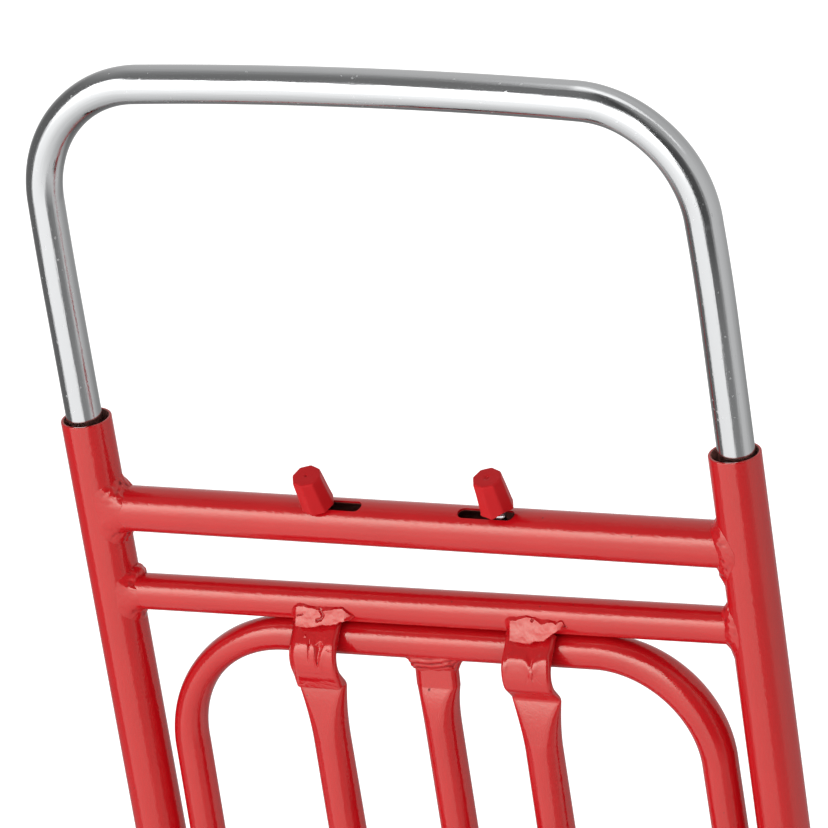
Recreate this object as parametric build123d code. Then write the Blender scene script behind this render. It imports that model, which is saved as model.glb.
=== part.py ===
from build123d import *
from math import atan2, cos, pi, radians, sin, sqrt, tan
import os

# Folding luggage trolley, folded and standing upright. Millimetres, +Z up, +X to the user's right,
# +Y forward to the side that carries the load, floor at Z = 0.
# Places along Y are measured from the plane of the two rails, and the export moves the whole into its frame.

# Fits
weld_gap = 0.1            # room for the weld where one tube butts on another
slide_gap = 0.3           # clearance round pieces that slide or swing past each other
run_gap = 0.05            # radial clearance of a turning or snug fit
cut_extra = 5.0           # how far a cutting tool runs past the wall that it cuts
middle_shift = -1.2       # the bars and buttons in the middle stand a little left of it

# Rails
rail_d = 25.0
rail_wall = 1.5
rail_spacing = 338.5      # between the two rail axes
rail_top = 460.0
rail_bottom = 12.0
rail_rim_round = 0.5
rail_plug_flange = 3.5
rail_plug_depth = 18.0

# Crossbars
lock_bar_d = 22.5
lock_bar_wall = 1.5
lock_bar_drop = 47.8      # axis below the rail tops
lower_bar_d = 18.0
lower_bar_wall = 1.5
lower_bar_drop = 91.5
lower_tilt = 0.55         # degrees by which this bar and the toe loop under it rise to the right
hinge_bar_d = 18.0
hinge_bar_wall = 2.0
hinge_height = 22.0
hinge_forward = 3.0       # the hinge stands ahead of the rails, so the folded toe leans on its stop

# Telescopic handle
handle_d = 17.5
handle_wall = 1.5
handle_rise = 175.9       # top bar axis above the rail tops
handle_bends = {"left": 61.0, "right": 58.0}
handle_crown = 2750.0     # radius of the slight arch of the top bar
handle_crown_x = -33.0    # highest point of that arch
handle_leg_out = 0.9      # the legs lie a little outward of the rail axes
handle_leg_end = 56.0     # height of the open leg ends when pushed in
lower_hole_rise = 16.2    # lower lock holes above the leg ends
leg_guide_flange = 6.0
leg_guide_depth = 9.0

# Lock: a bent rod on each side with a spring that drives its tip into the handle leg
rod_d = 5.0
rod_bend = 5.0
rod_hole_gap = 0.4        # radial room of the rod in the rail and in the handle
finger_x = 47.2
finger_leans = {"left": 22.5, "right": 18.5}  # degrees from upright, towards the user
lock_out_travel = 4.5     # from clear of the handle leg to fully home
lock_in_travel = 19.0     # squeezed
slot_lean = 20.5
slot_width = 6.5
slot_end_gap = 0.4
inner_guide_gap = 4.0     # from the bend of the rod, when that is home
inner_guide_length = 12.0
outer_guide_length = 15.0
outer_guide_inset = 1.5   # from the face of the rail
spring_length = 40.0
spring_coil_d = 10.0
spring_wire_d = 1.2
spring_turns = 7
collar_d = 12.0
collar_length = 3.0

# Button caps on the fingers
cap_sides = 8
cap_top_r = 7.1
cap_base_r = 7.8
cap_length = 19.0
cap_socket = 15.0
cap_gate_d = 1.6
cap_gate_depth = 0.7
cap_seats = {"left": 12.0, "right": 15.4}  # crossbar axis to cap, the left one pushed on further

# Toe loop with its centre bar
loop_d = 17.5
loop_wall = 1.5
loop_gap = 0.4            # under the lower crossbar
loop_corners = {"left": 141.0, "right": 140.5}  # where the leg axes meet the line of the top tube
loop_bends = {"left": 65.0, "right": 55.0}
sleeve_d = 23.0
sleeve_length = 22.0
sleeve_end_gap = 1.0      # beside the rail
centre_sleeve_length = 30.0
centre_bar_d = 17.5
centre_bar_wall = 1.5
centre_flat = 8.0         # thickness of its pressed upper end
centre_flat_length = 12.5
centre_taper = 22.0

# Back bars, tubes pressed flat at both ends and hooked behind the toe loop
back_bar_d = 18.0
back_bar_wall = 1.5
back_bar_x = 56.6
back_flat = 4.5           # thickness of the pressed ends
flat_crown = 0.15         # how much a pressed face still bulges
hook_gap = 0.5            # between the hook and the loop inside it
hook_start = 30.0         # degrees round the loop from its top, where the hook leaves the crossbar
hook_leave = 45.5         # degrees round the loop, where the hook goes straight
hook_reaches = {"left": 21.7, "right": 22.7}  # corner of the bulge behind the rail plane
hook_bulge = 13.2         # bend radius of the bulge
back_bar_set = 11.0       # kink behind the rail plane
kink_drops = {"left": 40.4, "right": 39.3}  # kink below the lower crossbar axis
kink_bend = 3.0
back_taper = 19.5
foot_tab = 30.0           # flat lower end against the hinge bar
foot_tab_drop = 8.0       # how far it passes below the hinge bar axis
vent_d = 4.0

# Wheels
wheel_d = 150.0
axle_d = 12.0
axle_back = 62.0
axle_tube_d = 18.0
bracket_thick = 4.0
bracket_low = 40.0
bracket_high = 128.0
bracket_nose_r = 18.0
spacer_d = 20.0
spacer_length = 17.5
hub_width = 34.0
hub_boss_d = 32.0
hub_bush_d = 18.0
hub_web = 6.0
tyre_depth = 20.0
rim_width = 28.0
rim_depth = 7.0
hub_windows = 6
hub_window_d = 21.0
tyre_width = 32.0
tyre_shoulder = 11.0
tread_grooves = 2
tread_groove_pitch = 10.0
tread_groove = 2.0
washer_d = 24.0
washer_thick = 1.5
cap_nut_d = 24.0
cap_nut_length = 9.0
cap_nut_depth = 6.0
cap_nut_round = 3.0

# Front feet, which also stop the toe when it is down
foot_thick = 4.0
foot_width = 22.0         # welded flange on the rail
foot_flange = 44.0        # height of that flange
foot_inner_x = 131.0      # inner end of the ledge under the toe loop's leg
foot_front = 52.0         # front edge, ahead of the rail plane
foot_bend = 3.5
foot_corner = 8.0
pad_d = 26.0
pad_y = 35.0
pad_chamfer = 2.0

# Places that follow from the sizes above
rail_x = rail_spacing / 2
rail_bore = rail_d - 2 * rail_wall
rail_inner_x = rail_x - rail_d / 2
lock_z = rail_top - lock_bar_drop
lower_z = rail_top - lower_bar_drop
leg_x = rail_x + handle_leg_out
handle_top = rail_top + handle_rise
handle_travel = lock_z - handle_leg_end - lower_hole_rise
pin_tip_x = leg_x - handle_d / 2 - slide_gap
loop_z = lower_z - lower_bar_d / 2 - loop_gap - loop_d / 2
sleeve_x = rail_inner_x - sleeve_end_gap - sleeve_length / 2
toe_down_z = hinge_height + hinge_forward - loop_d / 2
foot_top = toe_down_z - slide_gap
axle_z = wheel_d / 2
rim_d = wheel_d - 2 * tyre_depth
rail_plane_y = (axle_back + wheel_d / 2 - foot_front) / 2
inner_guide_x = finger_x + lock_out_travel + rod_bend + inner_guide_gap
outer_guide_x = rail_inner_x - outer_guide_inset - outer_guide_length
bracket_face_x = rail_x + bracket_thick / 2
hub_x = bracket_face_x + spacer_length + 2 * slide_gap
washer_x = hub_x + hub_width + slide_gap
cap_nut_x = washer_x + washer_thick + slide_gap
axle_end_x = cap_nut_x + cap_nut_depth - slide_gap
sides = {"left": -1, "right": 1}
nodes = {}


def along_x(shape):
    """Turn a shape that stands on +Z so that it points along +X."""
    return Rot(Y=90) * shape


def leaning(angle):
    """Direction that leans from upright towards the user by an angle in degrees."""
    return Vector(0, -sin(radians(angle)), cos(radians(angle)))


def tube(diameter, wall, length):
    return extrude(Circle(diameter / 2) - Circle(diameter / 2 - wall), length)


def ring(outer_d, inner_d, length):
    return extrude(Circle(outer_d / 2) - Circle(inner_d / 2), length)


def both_sides(name, right_piece):
    """Keep the piece of the right side and its mirror image for the left side."""
    nodes["right_" + name] = right_piece
    nodes["left_" + name] = mirror(right_piece, about=Plane.YZ)


def rail():
    """Straight tube, open at the top, with a hole for the lock rod in its inner wall."""
    body = Pos(0, 0, rail_bottom) * tube(rail_d, rail_wall, rail_top - rail_bottom)
    rim = body.edges().filter_by(GeomType.CIRCLE).group_by(Axis.Z)[-1]
    body = fillet(rim, rail_rim_round)
    hole = extrude(Circle(rod_d / 2 + rod_hole_gap), -rail_d / 2 - cut_extra)
    return Pos(rail_x, 0, 0) * (body - Pos(0, 0, lock_z) * along_x(hole))


def rail_plug():
    """Push-in plastic plug that closes the lower end of a rail."""
    flange = Pos(0, 0, rail_bottom - rail_plug_flange) * extrude(Circle(rail_d / 2), rail_plug_flange)
    flange = fillet(flange.edges().group_by(Axis.Z)[0], rail_rim_round)
    stem = Pos(0, 0, rail_bottom) * extrude(Circle(rail_bore / 2 - run_gap), rail_plug_depth)
    return Pos(rail_x, 0, 0) * (flange + stem)


def rise_at(x, tilt):
    """Height gained at a place along X by a bar that rises to the right."""
    return x * tan(radians(tilt))


def crossbar(diameter, wall, y, z, tilt=0):
    """Tube from rail to rail with its ends coped to the rails."""
    bar = Pos(0, y, z) * Rot(Y=-tilt) * Pos(-rail_x, 0, 0) * along_x(tube(diameter, wall, rail_spacing))
    cope = Pos(0, 0, z) * Cylinder(rail_d / 2 + weld_gap, diameter + 2 * cut_extra)
    return bar - Pos(rail_x, 0, 0) * cope - Pos(-rail_x, 0, 0) * cope


def lock_crossbar():
    """Upper crossbar with a slot on each side for the finger of the lock rod."""
    bar = crossbar(lock_bar_d, lock_bar_wall, 0, lock_z)
    reach = rod_d / 2 + slot_end_gap
    inner_end = finger_x - lock_in_travel - reach
    outer_end = finger_x + lock_out_travel + reach
    for side in sides.values():
        middle = side * (inner_end + outer_end) / 2
        slot_plane = Plane((middle, 0, lock_z), x_dir=(1, 0, 0), z_dir=leaning(slot_lean))
        bar -= extrude(slot_plane * SlotOverall(outer_end - inner_end, slot_width), lock_bar_d)
    return bar


def handle_side(side_name):
    """Points of one leg and bend of the handle: leg end, bend start, bend middle and bend end."""
    side = sides[side_name]
    bend = handle_bends[side_name]
    arch_z = handle_top - handle_crown
    bend_x = side * (leg_x - bend)
    from_arch = bend_x - handle_crown_x
    bend_z = arch_z + sqrt((handle_crown - bend) ** 2 - from_arch ** 2)
    turn = atan2(from_arch, bend_z - arch_z)
    half = (side * pi / 2 + turn) / 2
    leg_end = Vector(side * leg_x, 0, handle_leg_end)
    bend_start = Vector(side * leg_x, 0, bend_z)
    bend_middle = Vector(bend_x + bend * sin(half), 0, bend_z + bend * cos(half))
    bend_end = Vector(handle_crown_x + handle_crown * sin(turn), 0, arch_z + handle_crown * cos(turn))
    return leg_end, bend_start, bend_middle, bend_end


def handle_tube():
    """Bent tube: two legs, two bends and a slightly arched top bar, with lock holes in the legs."""
    leg_end, bend_start, bend_middle, bend_end = handle_side("right")
    far_end, far_start, far_middle, far_bend = handle_side("left")
    path = Wire([
        Line(leg_end, bend_start),
        ThreePointArc(bend_start, bend_middle, bend_end),
        ThreePointArc(bend_end, (handle_crown_x, 0, handle_top), far_bend),
        ThreePointArc(far_bend, far_middle, far_start),
        Line(far_start, far_end),
    ])
    section = Plane(leg_end, z_dir=(0, 0, 1)) * (Circle(handle_d / 2) - Circle(handle_d / 2 - handle_wall))
    body = sweep(section, path)
    hole = along_x(extrude(Circle(rod_d / 2 + rod_hole_gap), handle_d))
    for height in (lock_z, lock_z - handle_travel):
        body -= Pos(-leg_x, 0, height) * hole
        body -= Pos(leg_x - handle_d, 0, height) * hole
    return body


def leg_guide():
    """Plastic plug in the end of a handle leg that guides it in the rail."""
    flange_r = rail_bore / 2 - handle_leg_out - slide_gap
    flange = Pos(0, 0, handle_leg_end - leg_guide_flange) * extrude(Circle(flange_r), leg_guide_flange)
    flange = chamfer(flange.edges(), handle_leg_out)
    stem = Pos(0, 0, handle_leg_end) * extrude(Circle(handle_d / 2 - handle_wall - run_gap), leg_guide_depth)
    return Pos(leg_x, 0, 0) * (flange + stem)


def lock_rod(side_name):
    """Steel rod bent at a right angle: the lock pin lies in the crossbar, the finger stands in the slot."""
    side = sides[side_name]
    corner = Vector(side * finger_x, 0, lock_z)
    finger_top = corner + leaning(finger_leans[side_name]) * (cap_seats[side_name] + cap_socket - slide_gap)
    tip = Vector(side * pin_tip_x, 0, lock_z)
    path = FilletPolyline(tip, corner, finger_top, radius=rod_bend)
    return sweep(Plane(tip, z_dir=(-side, 0, 0)) * Circle(rod_d / 2), path)


def button_cap(side_name):
    """Eight-sided moulded cap pushed on the finger, with the mark of its gate in the end face."""
    corner = (sides[side_name] * finger_x, 0, lock_z)
    axis = Plane(corner, x_dir=(1, 0, 0), z_dir=leaning(finger_leans[side_name]))
    base = axis.offset(cap_seats[side_name])
    end = base.offset(cap_length)
    body = loft([base * RegularPolygon(cap_base_r, cap_sides), end * RegularPolygon(cap_top_r, cap_sides)])
    body -= extrude(base * Circle(rod_d / 2 + run_gap), cap_socket)
    return body - extrude(end * Circle(cap_gate_d / 2), -cap_gate_depth)


def rod_guide(start_x, length):
    """Plastic plug in the crossbar that carries the lock rod."""
    guide_d = lock_bar_d - 2 * lock_bar_wall - 2 * run_gap
    return Pos(start_x, 0, lock_z) * along_x(ring(guide_d, rod_d + 2 * run_gap, length))


def lock_spring():
    """Coil spring round the lock rod, from the inner guide to the collar."""
    height = spring_length - spring_wire_d - 2 * run_gap
    coil = Helix(height / spring_turns, height, (spring_coil_d - spring_wire_d) / 2)
    section = Plane(coil @ 0, z_dir=coil % 0) * Circle(spring_wire_d / 2)
    start = inner_guide_x + inner_guide_length + spring_wire_d / 2 + run_gap
    return Pos(start, 0, lock_z) * along_x(sweep(section, coil, is_frenet=True))


def spring_collar():
    """Steel ring pressed on the lock rod that takes the push of the spring."""
    start = inner_guide_x + inner_guide_length + spring_length
    return Pos(start, 0, lock_z) * along_x(ring(collar_d, rod_d + 2 * run_gap, collar_length))


def pressed_section(diameter, thickness):
    """Cross-section of a tube pressed to a thickness, as four arcs with the tube's own girth.
    A thickness equal to the diameter gives the round tube."""
    press = (diameter - thickness) / diameter
    half_width = (thickness + pi * (diameter - thickness) / 2) / 2
    corner = radians(45)
    corner_x = (half_width - thickness / 2) + thickness / 2 * cos(corner) * (1 - press)
    corner_y = thickness / 2 * (press + sin(corner) * (1 - press))
    face_y = thickness / 2 + flat_crown * press
    corners = [(corner_x, corner_y), (-corner_x, corner_y), (-corner_x, -corner_y), (corner_x, -corner_y)]
    middles = [(0, face_y), (-half_width, 0), (0, -face_y), (half_width, 0)]
    arcs = [ThreePointArc(corners[i], middles[i], corners[(i + 1) % 4]) for i in range(4)]
    return make_face(arcs)


def back_bar(side_name):
    """Tube pressed flat at both ends. The upper end is hooked round the back of the folded toe loop
    and meets the lower crossbar, the lower end lies against the back of the hinge bar."""
    middle_x = sides[side_name] * back_bar_x + middle_shift
    hook_r = loop_d / 2 + hook_gap + back_flat / 2
    rise = rise_at(middle_x, lower_tilt)
    loop_axis = Vector(middle_x, 0, loop_z + rise)
    start_turn = radians(hook_start)
    leave_turn = radians(hook_leave)
    start = loop_axis + hook_r * Vector(0, -sin(start_turn), cos(start_turn))
    leave = loop_axis + hook_r * Vector(0, -sin(leave_turn), cos(leave_turn))
    half_turn = (start_turn + leave_turn) / 2
    shoulder = loop_axis + hook_r * Vector(0, -sin(half_turn), cos(half_turn))
    reach = hook_reaches[side_name]
    bulge_drop = (reach + leave.Y) * tan(leave_turn)
    bulge = Vector(middle_x, -reach, leave.Z - bulge_drop)
    kink = Vector(middle_x, -back_bar_set, lower_z - kink_drops[side_name] + rise)
    tab_y = hinge_forward - hinge_bar_d / 2 - weld_gap - back_flat / 2
    tab_end = Vector(middle_x, tab_y, hinge_height - foot_tab_drop)
    down = (tab_end - kink).normalized()
    kink_end = kink + down * kink_bend
    wrap = ThreePointArc(start, shoulder, leave)
    run = FilletPolyline(leave, bulge, kink, kink_end, radius=[hook_bulge, kink_bend])
    hook_path = Wire([wrap, *run.edges()])
    across = (1, 0, 0)
    flat = pressed_section(back_bar_d, back_flat)
    half_flat = (back_bar_d + back_flat) / 2
    round_face = pressed_section(back_bar_d, back_bar_d)
    hook = sweep(Plane(start, x_dir=across, z_dir=hook_path % 0) * flat, hook_path)
    stations = [kink_end, kink_end + down * back_taper / 2, kink_end + down * back_taper]
    sections = [flat, pressed_section(back_bar_d, half_flat), round_face]
    upper = loft([Plane(p, x_dir=across, z_dir=down) * s for p, s in zip(stations, sections)])
    tab_start = tab_end - down * foot_tab
    lower_stations = [tab_start, tab_start - down * back_taper / 2, tab_start - down * back_taper]
    lower = loft([Plane(p, x_dir=across, z_dir=-down) * s for p, s in zip(lower_stations, sections)])
    middle_start = Plane(stations[-1], x_dir=across, z_dir=down)
    middle_length = (lower_stations[-1] - stations[-1]).length
    middle = extrude(middle_start * round_face, middle_length)
    bore = extrude(middle_start * Circle(back_bar_d / 2 - back_bar_wall), middle_length)
    tab = extrude(Plane(tab_start, x_dir=across, z_dir=down) * flat, foot_tab)
    vent_plane = Plane(lower_stations[-1] - down * vent_d, x_dir=across, z_dir=(0, 1, 0))
    vent = extrude(vent_plane * Circle(vent_d / 2), back_bar_d)
    return hook + upper + middle + lower + tab - bore - vent


def toe_loop():
    """Bent tube that folds up between the rails, coped at its ends to the hinge sleeves."""
    foot = Vector(sleeve_x, 0, hinge_height)
    right_x = loop_corners["right"]
    left_x = -loop_corners["left"]
    corner = Vector(right_x, 0, loop_z + rise_at(right_x, lower_tilt))
    far_corner = Vector(left_x, 0, loop_z + rise_at(left_x, lower_tilt))
    far_foot = Vector(-sleeve_x, 0, hinge_height)
    bends = [loop_bends["right"], loop_bends["left"]]
    path = FilletPolyline(foot, corner, far_corner, far_foot, radius=bends)
    section = Plane(foot, z_dir=path % 0) * (Circle(loop_d / 2) - Circle(loop_d / 2 - loop_wall))
    body = sweep(section, path)
    cope = along_x(extrude(Circle(sleeve_d / 2 + weld_gap), rail_spacing))
    below = extrude(Rectangle(rail_spacing, loop_d + cut_extra), -sleeve_d)
    return body - Pos(-rail_x, hinge_forward, hinge_height) * cope - Pos(0, 0, hinge_height) * below


def toe_centre_bar():
    """Tube with a pressed upper end under the loop's top tube and a coped lower end on its sleeve."""
    flat_end = loop_z - loop_d / 2 - centre_flat_length
    round_start = flat_end - centre_taper
    round_length = round_start - hinge_height
    flat = pressed_section(centre_bar_d, centre_flat)
    half_flat = pressed_section(centre_bar_d, (centre_bar_d + centre_flat) / 2)
    round_face = pressed_section(centre_bar_d, centre_bar_d)
    upper = Pos(0, 0, flat_end) * extrude(flat, loop_z - flat_end)
    heights = [flat_end, (flat_end + round_start) / 2, round_start]
    taper = loft([Pos(0, 0, h) * s for h, s in zip(heights, [flat, half_flat, round_face])])
    lower = Pos(0, 0, hinge_height) * extrude(round_face, round_length)
    bore = Pos(0, 0, hinge_height) * extrude(Circle(centre_bar_d / 2 - centre_bar_wall), round_length)
    half_span = 2 * centre_bar_d
    over = Pos(-half_span, 0, 0) * along_x(extrude(Circle(loop_d / 2 + weld_gap), 2 * half_span))
    over += extrude(Rectangle(2 * half_span, loop_d), loop_d)
    under = Pos(-half_span, 0, 0) * along_x(extrude(Circle(sleeve_d / 2 + weld_gap), 2 * half_span))
    body = upper + taper + lower - bore - Pos(0, hinge_forward, hinge_height) * under
    return body - Pos(0, 0, loop_z) * Rot(Y=-lower_tilt) * over


def hinge_sleeve(middle_x, length):
    """Short tube that turns on the hinge bar."""
    sleeve = ring(sleeve_d, hinge_bar_d + 2 * run_gap, length)
    return Pos(middle_x - length / 2, hinge_forward, hinge_height) * along_x(sleeve)


def wheel_bracket():
    """Plate welded on edge to the back of the rail, with a round nose that holds the axle."""
    weld_y = -rail_d / 2 - weld_gap
    edge = Line((weld_y, bracket_low), (weld_y, bracket_high))
    nose = Pos(-axle_back, axle_z) * Circle(bracket_nose_r)
    outline = make_hull([*edge.edges(), *nose.edges()])
    outline -= Pos(-axle_back, axle_z) * Circle(axle_d / 2 + run_gap)
    upright = Plane((rail_x - bracket_thick / 2, 0, 0), x_dir=(0, 1, 0), z_dir=(1, 0, 0))
    return extrude(upright * outline, bracket_thick)


def on_axle(shape, start_x):
    """Lay a shape that stands on +Z along the axle, from a place along it."""
    return Pos(start_x, -axle_back, axle_z) * along_x(shape)


def wheel_hub():
    """Moulded hub: rim, web with round windows and a boss for the bush."""
    rim_r = rim_d / 2
    boss = ring(hub_boss_d, hub_bush_d + 2 * run_gap, hub_width)
    web_start = (hub_width - hub_web) / 2
    web = Pos(0, 0, web_start) * ring(rim_d - rim_depth, hub_boss_d - rim_depth, hub_web)
    rim = Pos(0, 0, (hub_width - rim_width) / 2) * ring(rim_d, rim_d - 2 * rim_depth, rim_width)
    window_r = (rim_r - rim_depth + hub_boss_d / 2) / 2
    windows = PolarLocations(window_r, hub_windows) * Circle(hub_window_d / 2)
    cut = Pos(0, 0, web_start - cut_extra) * extrude(Sketch() + windows, hub_web + 2 * cut_extra)
    return on_axle(boss + web + rim - cut, hub_x)


def hub_bush():
    """Nylon bush pressed in the hub, turning on the axle."""
    return on_axle(ring(hub_bush_d, axle_d + 2 * run_gap, hub_width), hub_x)


def tyre():
    """Solid rubber tyre stretched on the rim, with grooves round its tread."""
    inner_r = rim_d / 2 + run_gap
    outer_r = wheel_d / 2
    depth = outer_r - inner_r
    section = Pos((inner_r + outer_r) / 2, 0) * Rectangle(depth, tyre_width)
    shoulders = section.vertices().group_by(Axis.X)[-1]
    section = fillet(shoulders, tyre_shoulder)
    first = -tread_groove_pitch * (tread_grooves - 1) / 2
    for i in range(tread_grooves):
        section -= Pos(outer_r, first + i * tread_groove_pitch) * Rectangle(2 * tread_groove, tread_groove)
    body = revolve(Plane.XZ * section, Axis.Z)
    return on_axle(body, hub_x + hub_width / 2)


def cap_nut():
    """Domed push-on cap that keeps the wheel on the axle."""
    body = extrude(Circle(cap_nut_d / 2), cap_nut_length)
    body = fillet(body.edges().group_by(Axis.Z)[-1], cap_nut_round)
    return on_axle(body - extrude(Circle(axle_d / 2 + run_gap), cap_nut_depth), cap_nut_x)


def foot_bracket():
    """Bent plate welded to the front of the rail. Its ledge stands on the pad and carries the lowered toe."""
    back_y = rail_d / 2 + weld_gap
    low = foot_top - foot_thick
    flange = Pos(rail_x, back_y + foot_thick / 2, low) * Box(
        foot_width, foot_thick, foot_flange, align=(Align.CENTER, Align.CENTER, Align.MIN))
    outer_x = rail_x + foot_width / 2
    ledge_y = back_y + foot_thick
    ledge = Pos((foot_inner_x + outer_x) / 2, (ledge_y + foot_front) / 2) * Rectangle(
        outer_x - foot_inner_x, foot_front - ledge_y)
    ledge = fillet(ledge.vertices().group_by(Axis.Y)[-1], foot_corner)
    ledge = Pos(0, 0, low) * extrude(ledge, foot_thick)
    root = Pos(rail_x, (back_y + ledge_y) / 2, low) * Box(
        foot_width, foot_thick, foot_thick, align=(Align.CENTER, Align.CENTER, Align.MIN))
    body = flange + root + ledge
    bend = body.edges().filter_by(Axis.X).group_by(Axis.Z)[0].sort_by(Axis.Y)[0]
    return fillet(bend, foot_bend)


def foot_pad():
    """Rubber pad under the ledge of the foot."""
    height = foot_top - foot_thick
    pad = extrude(Circle(pad_d / 2), height)
    pad = chamfer(pad.edges().group_by(Axis.Z)[0], pad_chamfer)
    return Pos(foot_inner_x + pad_d, pad_y, 0) * pad


both_sides("rail", rail())
both_sides("rail_plug", rail_plug())
nodes["lock_crossbar"] = lock_crossbar()
nodes["lower_crossbar"] = crossbar(lower_bar_d, lower_bar_wall, 0, lower_z, lower_tilt)
nodes["hinge_crossbar"] = crossbar(hinge_bar_d, hinge_bar_wall, hinge_forward, hinge_height)
for side_name in sides:
    nodes[side_name + "_back_bar"] = back_bar(side_name)
both_sides("foot_bracket", foot_bracket())
both_sides("foot_pad", foot_pad())
both_sides("wheel_bracket", wheel_bracket())

nodes["handle_tube"] = handle_tube()
both_sides("leg_guide", leg_guide())

for side_name in sides:
    nodes[side_name + "_lock_rod"] = lock_rod(side_name)
    nodes[side_name + "_button_cap"] = button_cap(side_name)
both_sides("inner_rod_guide", rod_guide(inner_guide_x, inner_guide_length))
both_sides("outer_rod_guide", rod_guide(outer_guide_x, outer_guide_length))
both_sides("lock_spring", lock_spring())
both_sides("spring_collar", spring_collar())

nodes["toe_loop"] = toe_loop()
nodes["toe_centre_bar"] = Pos(middle_shift, 0, 0) * toe_centre_bar()
both_sides("hinge_sleeve", hinge_sleeve(sleeve_x, sleeve_length))
nodes["centre_hinge_sleeve"] = hinge_sleeve(middle_shift, centre_sleeve_length)

nodes["axle"] = on_axle(extrude(Circle(axle_d / 2), 2 * axle_end_x), -axle_end_x)
axle_tube_length = rail_spacing - bracket_thick - 2 * weld_gap
axle_tube = ring(axle_tube_d, axle_d + 2 * run_gap, axle_tube_length)
nodes["axle_tube"] = on_axle(axle_tube, -axle_tube_length / 2)
spacer = ring(spacer_d, axle_d + 2 * run_gap, spacer_length)
both_sides("wheel_spacer", on_axle(spacer, bracket_face_x + slide_gap))
both_sides("wheel_hub", wheel_hub())
both_sides("hub_bush", hub_bush())
both_sides("tyre", tyre())
washer = ring(washer_d, axle_d + 2 * run_gap, washer_thick)
both_sides("wheel_washer", on_axle(washer, washer_x))
both_sides("axle_cap", cap_nut())

os.makedirs("parts", exist_ok=True)
for name, shape in nodes.items():
    export_step(Pos(0, rail_plane_y, 0) * shape, f"parts/{name}.step")
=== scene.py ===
import math

import bmesh
import bpy
from mathutils import Matrix, Quaternion, Vector, noise


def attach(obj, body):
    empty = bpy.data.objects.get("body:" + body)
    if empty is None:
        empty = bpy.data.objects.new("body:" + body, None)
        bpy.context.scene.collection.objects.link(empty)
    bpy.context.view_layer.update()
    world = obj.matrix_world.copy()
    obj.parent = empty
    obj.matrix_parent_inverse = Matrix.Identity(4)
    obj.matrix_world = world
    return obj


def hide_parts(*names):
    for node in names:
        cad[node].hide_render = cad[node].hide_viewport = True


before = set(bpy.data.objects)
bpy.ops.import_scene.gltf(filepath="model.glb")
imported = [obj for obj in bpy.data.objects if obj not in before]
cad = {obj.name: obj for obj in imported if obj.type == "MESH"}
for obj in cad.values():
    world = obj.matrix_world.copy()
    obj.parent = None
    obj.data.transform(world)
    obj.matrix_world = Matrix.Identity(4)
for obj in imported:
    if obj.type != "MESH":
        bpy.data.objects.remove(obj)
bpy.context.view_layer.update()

# Rails: two straight steel tubes, sprayed with gloss red enamel after welding. They are open at the top,
# where the wall shows as a thin lip and the bare inside is brown. Plastic plugs close them near the floor.
mm = 0.001
rail_x, rail_y = 169.25 * mm, 42.5 * mm
rail_r, rail_bore_r = 12.5 * mm, 11 * mm


def linear(colour):
    """Linear colour of an sRGB hex value."""
    parts = [int(colour[i:i + 2], 16) / 255 for i in (1, 3, 5)]
    return [c / 12.92 if c <= 0.04045 else ((c + 0.055) / 1.055) ** 2.4 for c in parts] + [1.0]


def add_node(tree, kind, inputs=None, **settings):
    """Add a node, set its settings, and give its inputs a value or a link. A node stands for its first output."""
    made = tree.nodes.new(kind)
    for name, value in settings.items():
        setattr(made, name, value)
    for name, value in (inputs or {}).items():
        if isinstance(value, bpy.types.Node):
            value = value.outputs[0]
        if isinstance(value, bpy.types.NodeSocket):
            tree.links.new(value, made.inputs[name])
        else:
            made.inputs[name].default_value = value
    return made


def calc(tree, operation, *values):
    """A sum done on values or nodes."""
    return add_node(tree, "ShaderNodeMath", dict(enumerate(values)), operation=operation)


def spread(tree, value, low, high, start, end):
    """A value from low to high, laid out from start to end and held there."""
    return add_node(tree, "ShaderNodeMapRange", {
        "Value": value, "From Min": low, "From Max": high, "To Min": start, "To Max": end})


def blend(tree, share, first, second):
    """A colour turning into another. Each is a hex value or a socket."""
    first, second = (linear(c) if isinstance(c, str) else c for c in (first, second))
    return add_node(tree, "ShaderNodeMix", {0: share, 6: first, 7: second}, data_type="RGBA").outputs[2]


def mottle(tree, place, size, detail):
    """Cloudy noise with spots of a size."""
    return add_node(tree, "ShaderNodeTexNoise", {"Vector": place, "Scale": 1 / size, "Detail": detail})


def start_material(name):
    """A new material and its empty tree."""
    made = bpy.data.materials.new(name)
    made.use_nodes = True
    made.node_tree.nodes.clear()
    return made, made.node_tree


def show(made, surface):
    """Make a shader the surface of a material."""
    add_node(made.node_tree, "ShaderNodeOutputMaterial", {0: surface})
    return made


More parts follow.
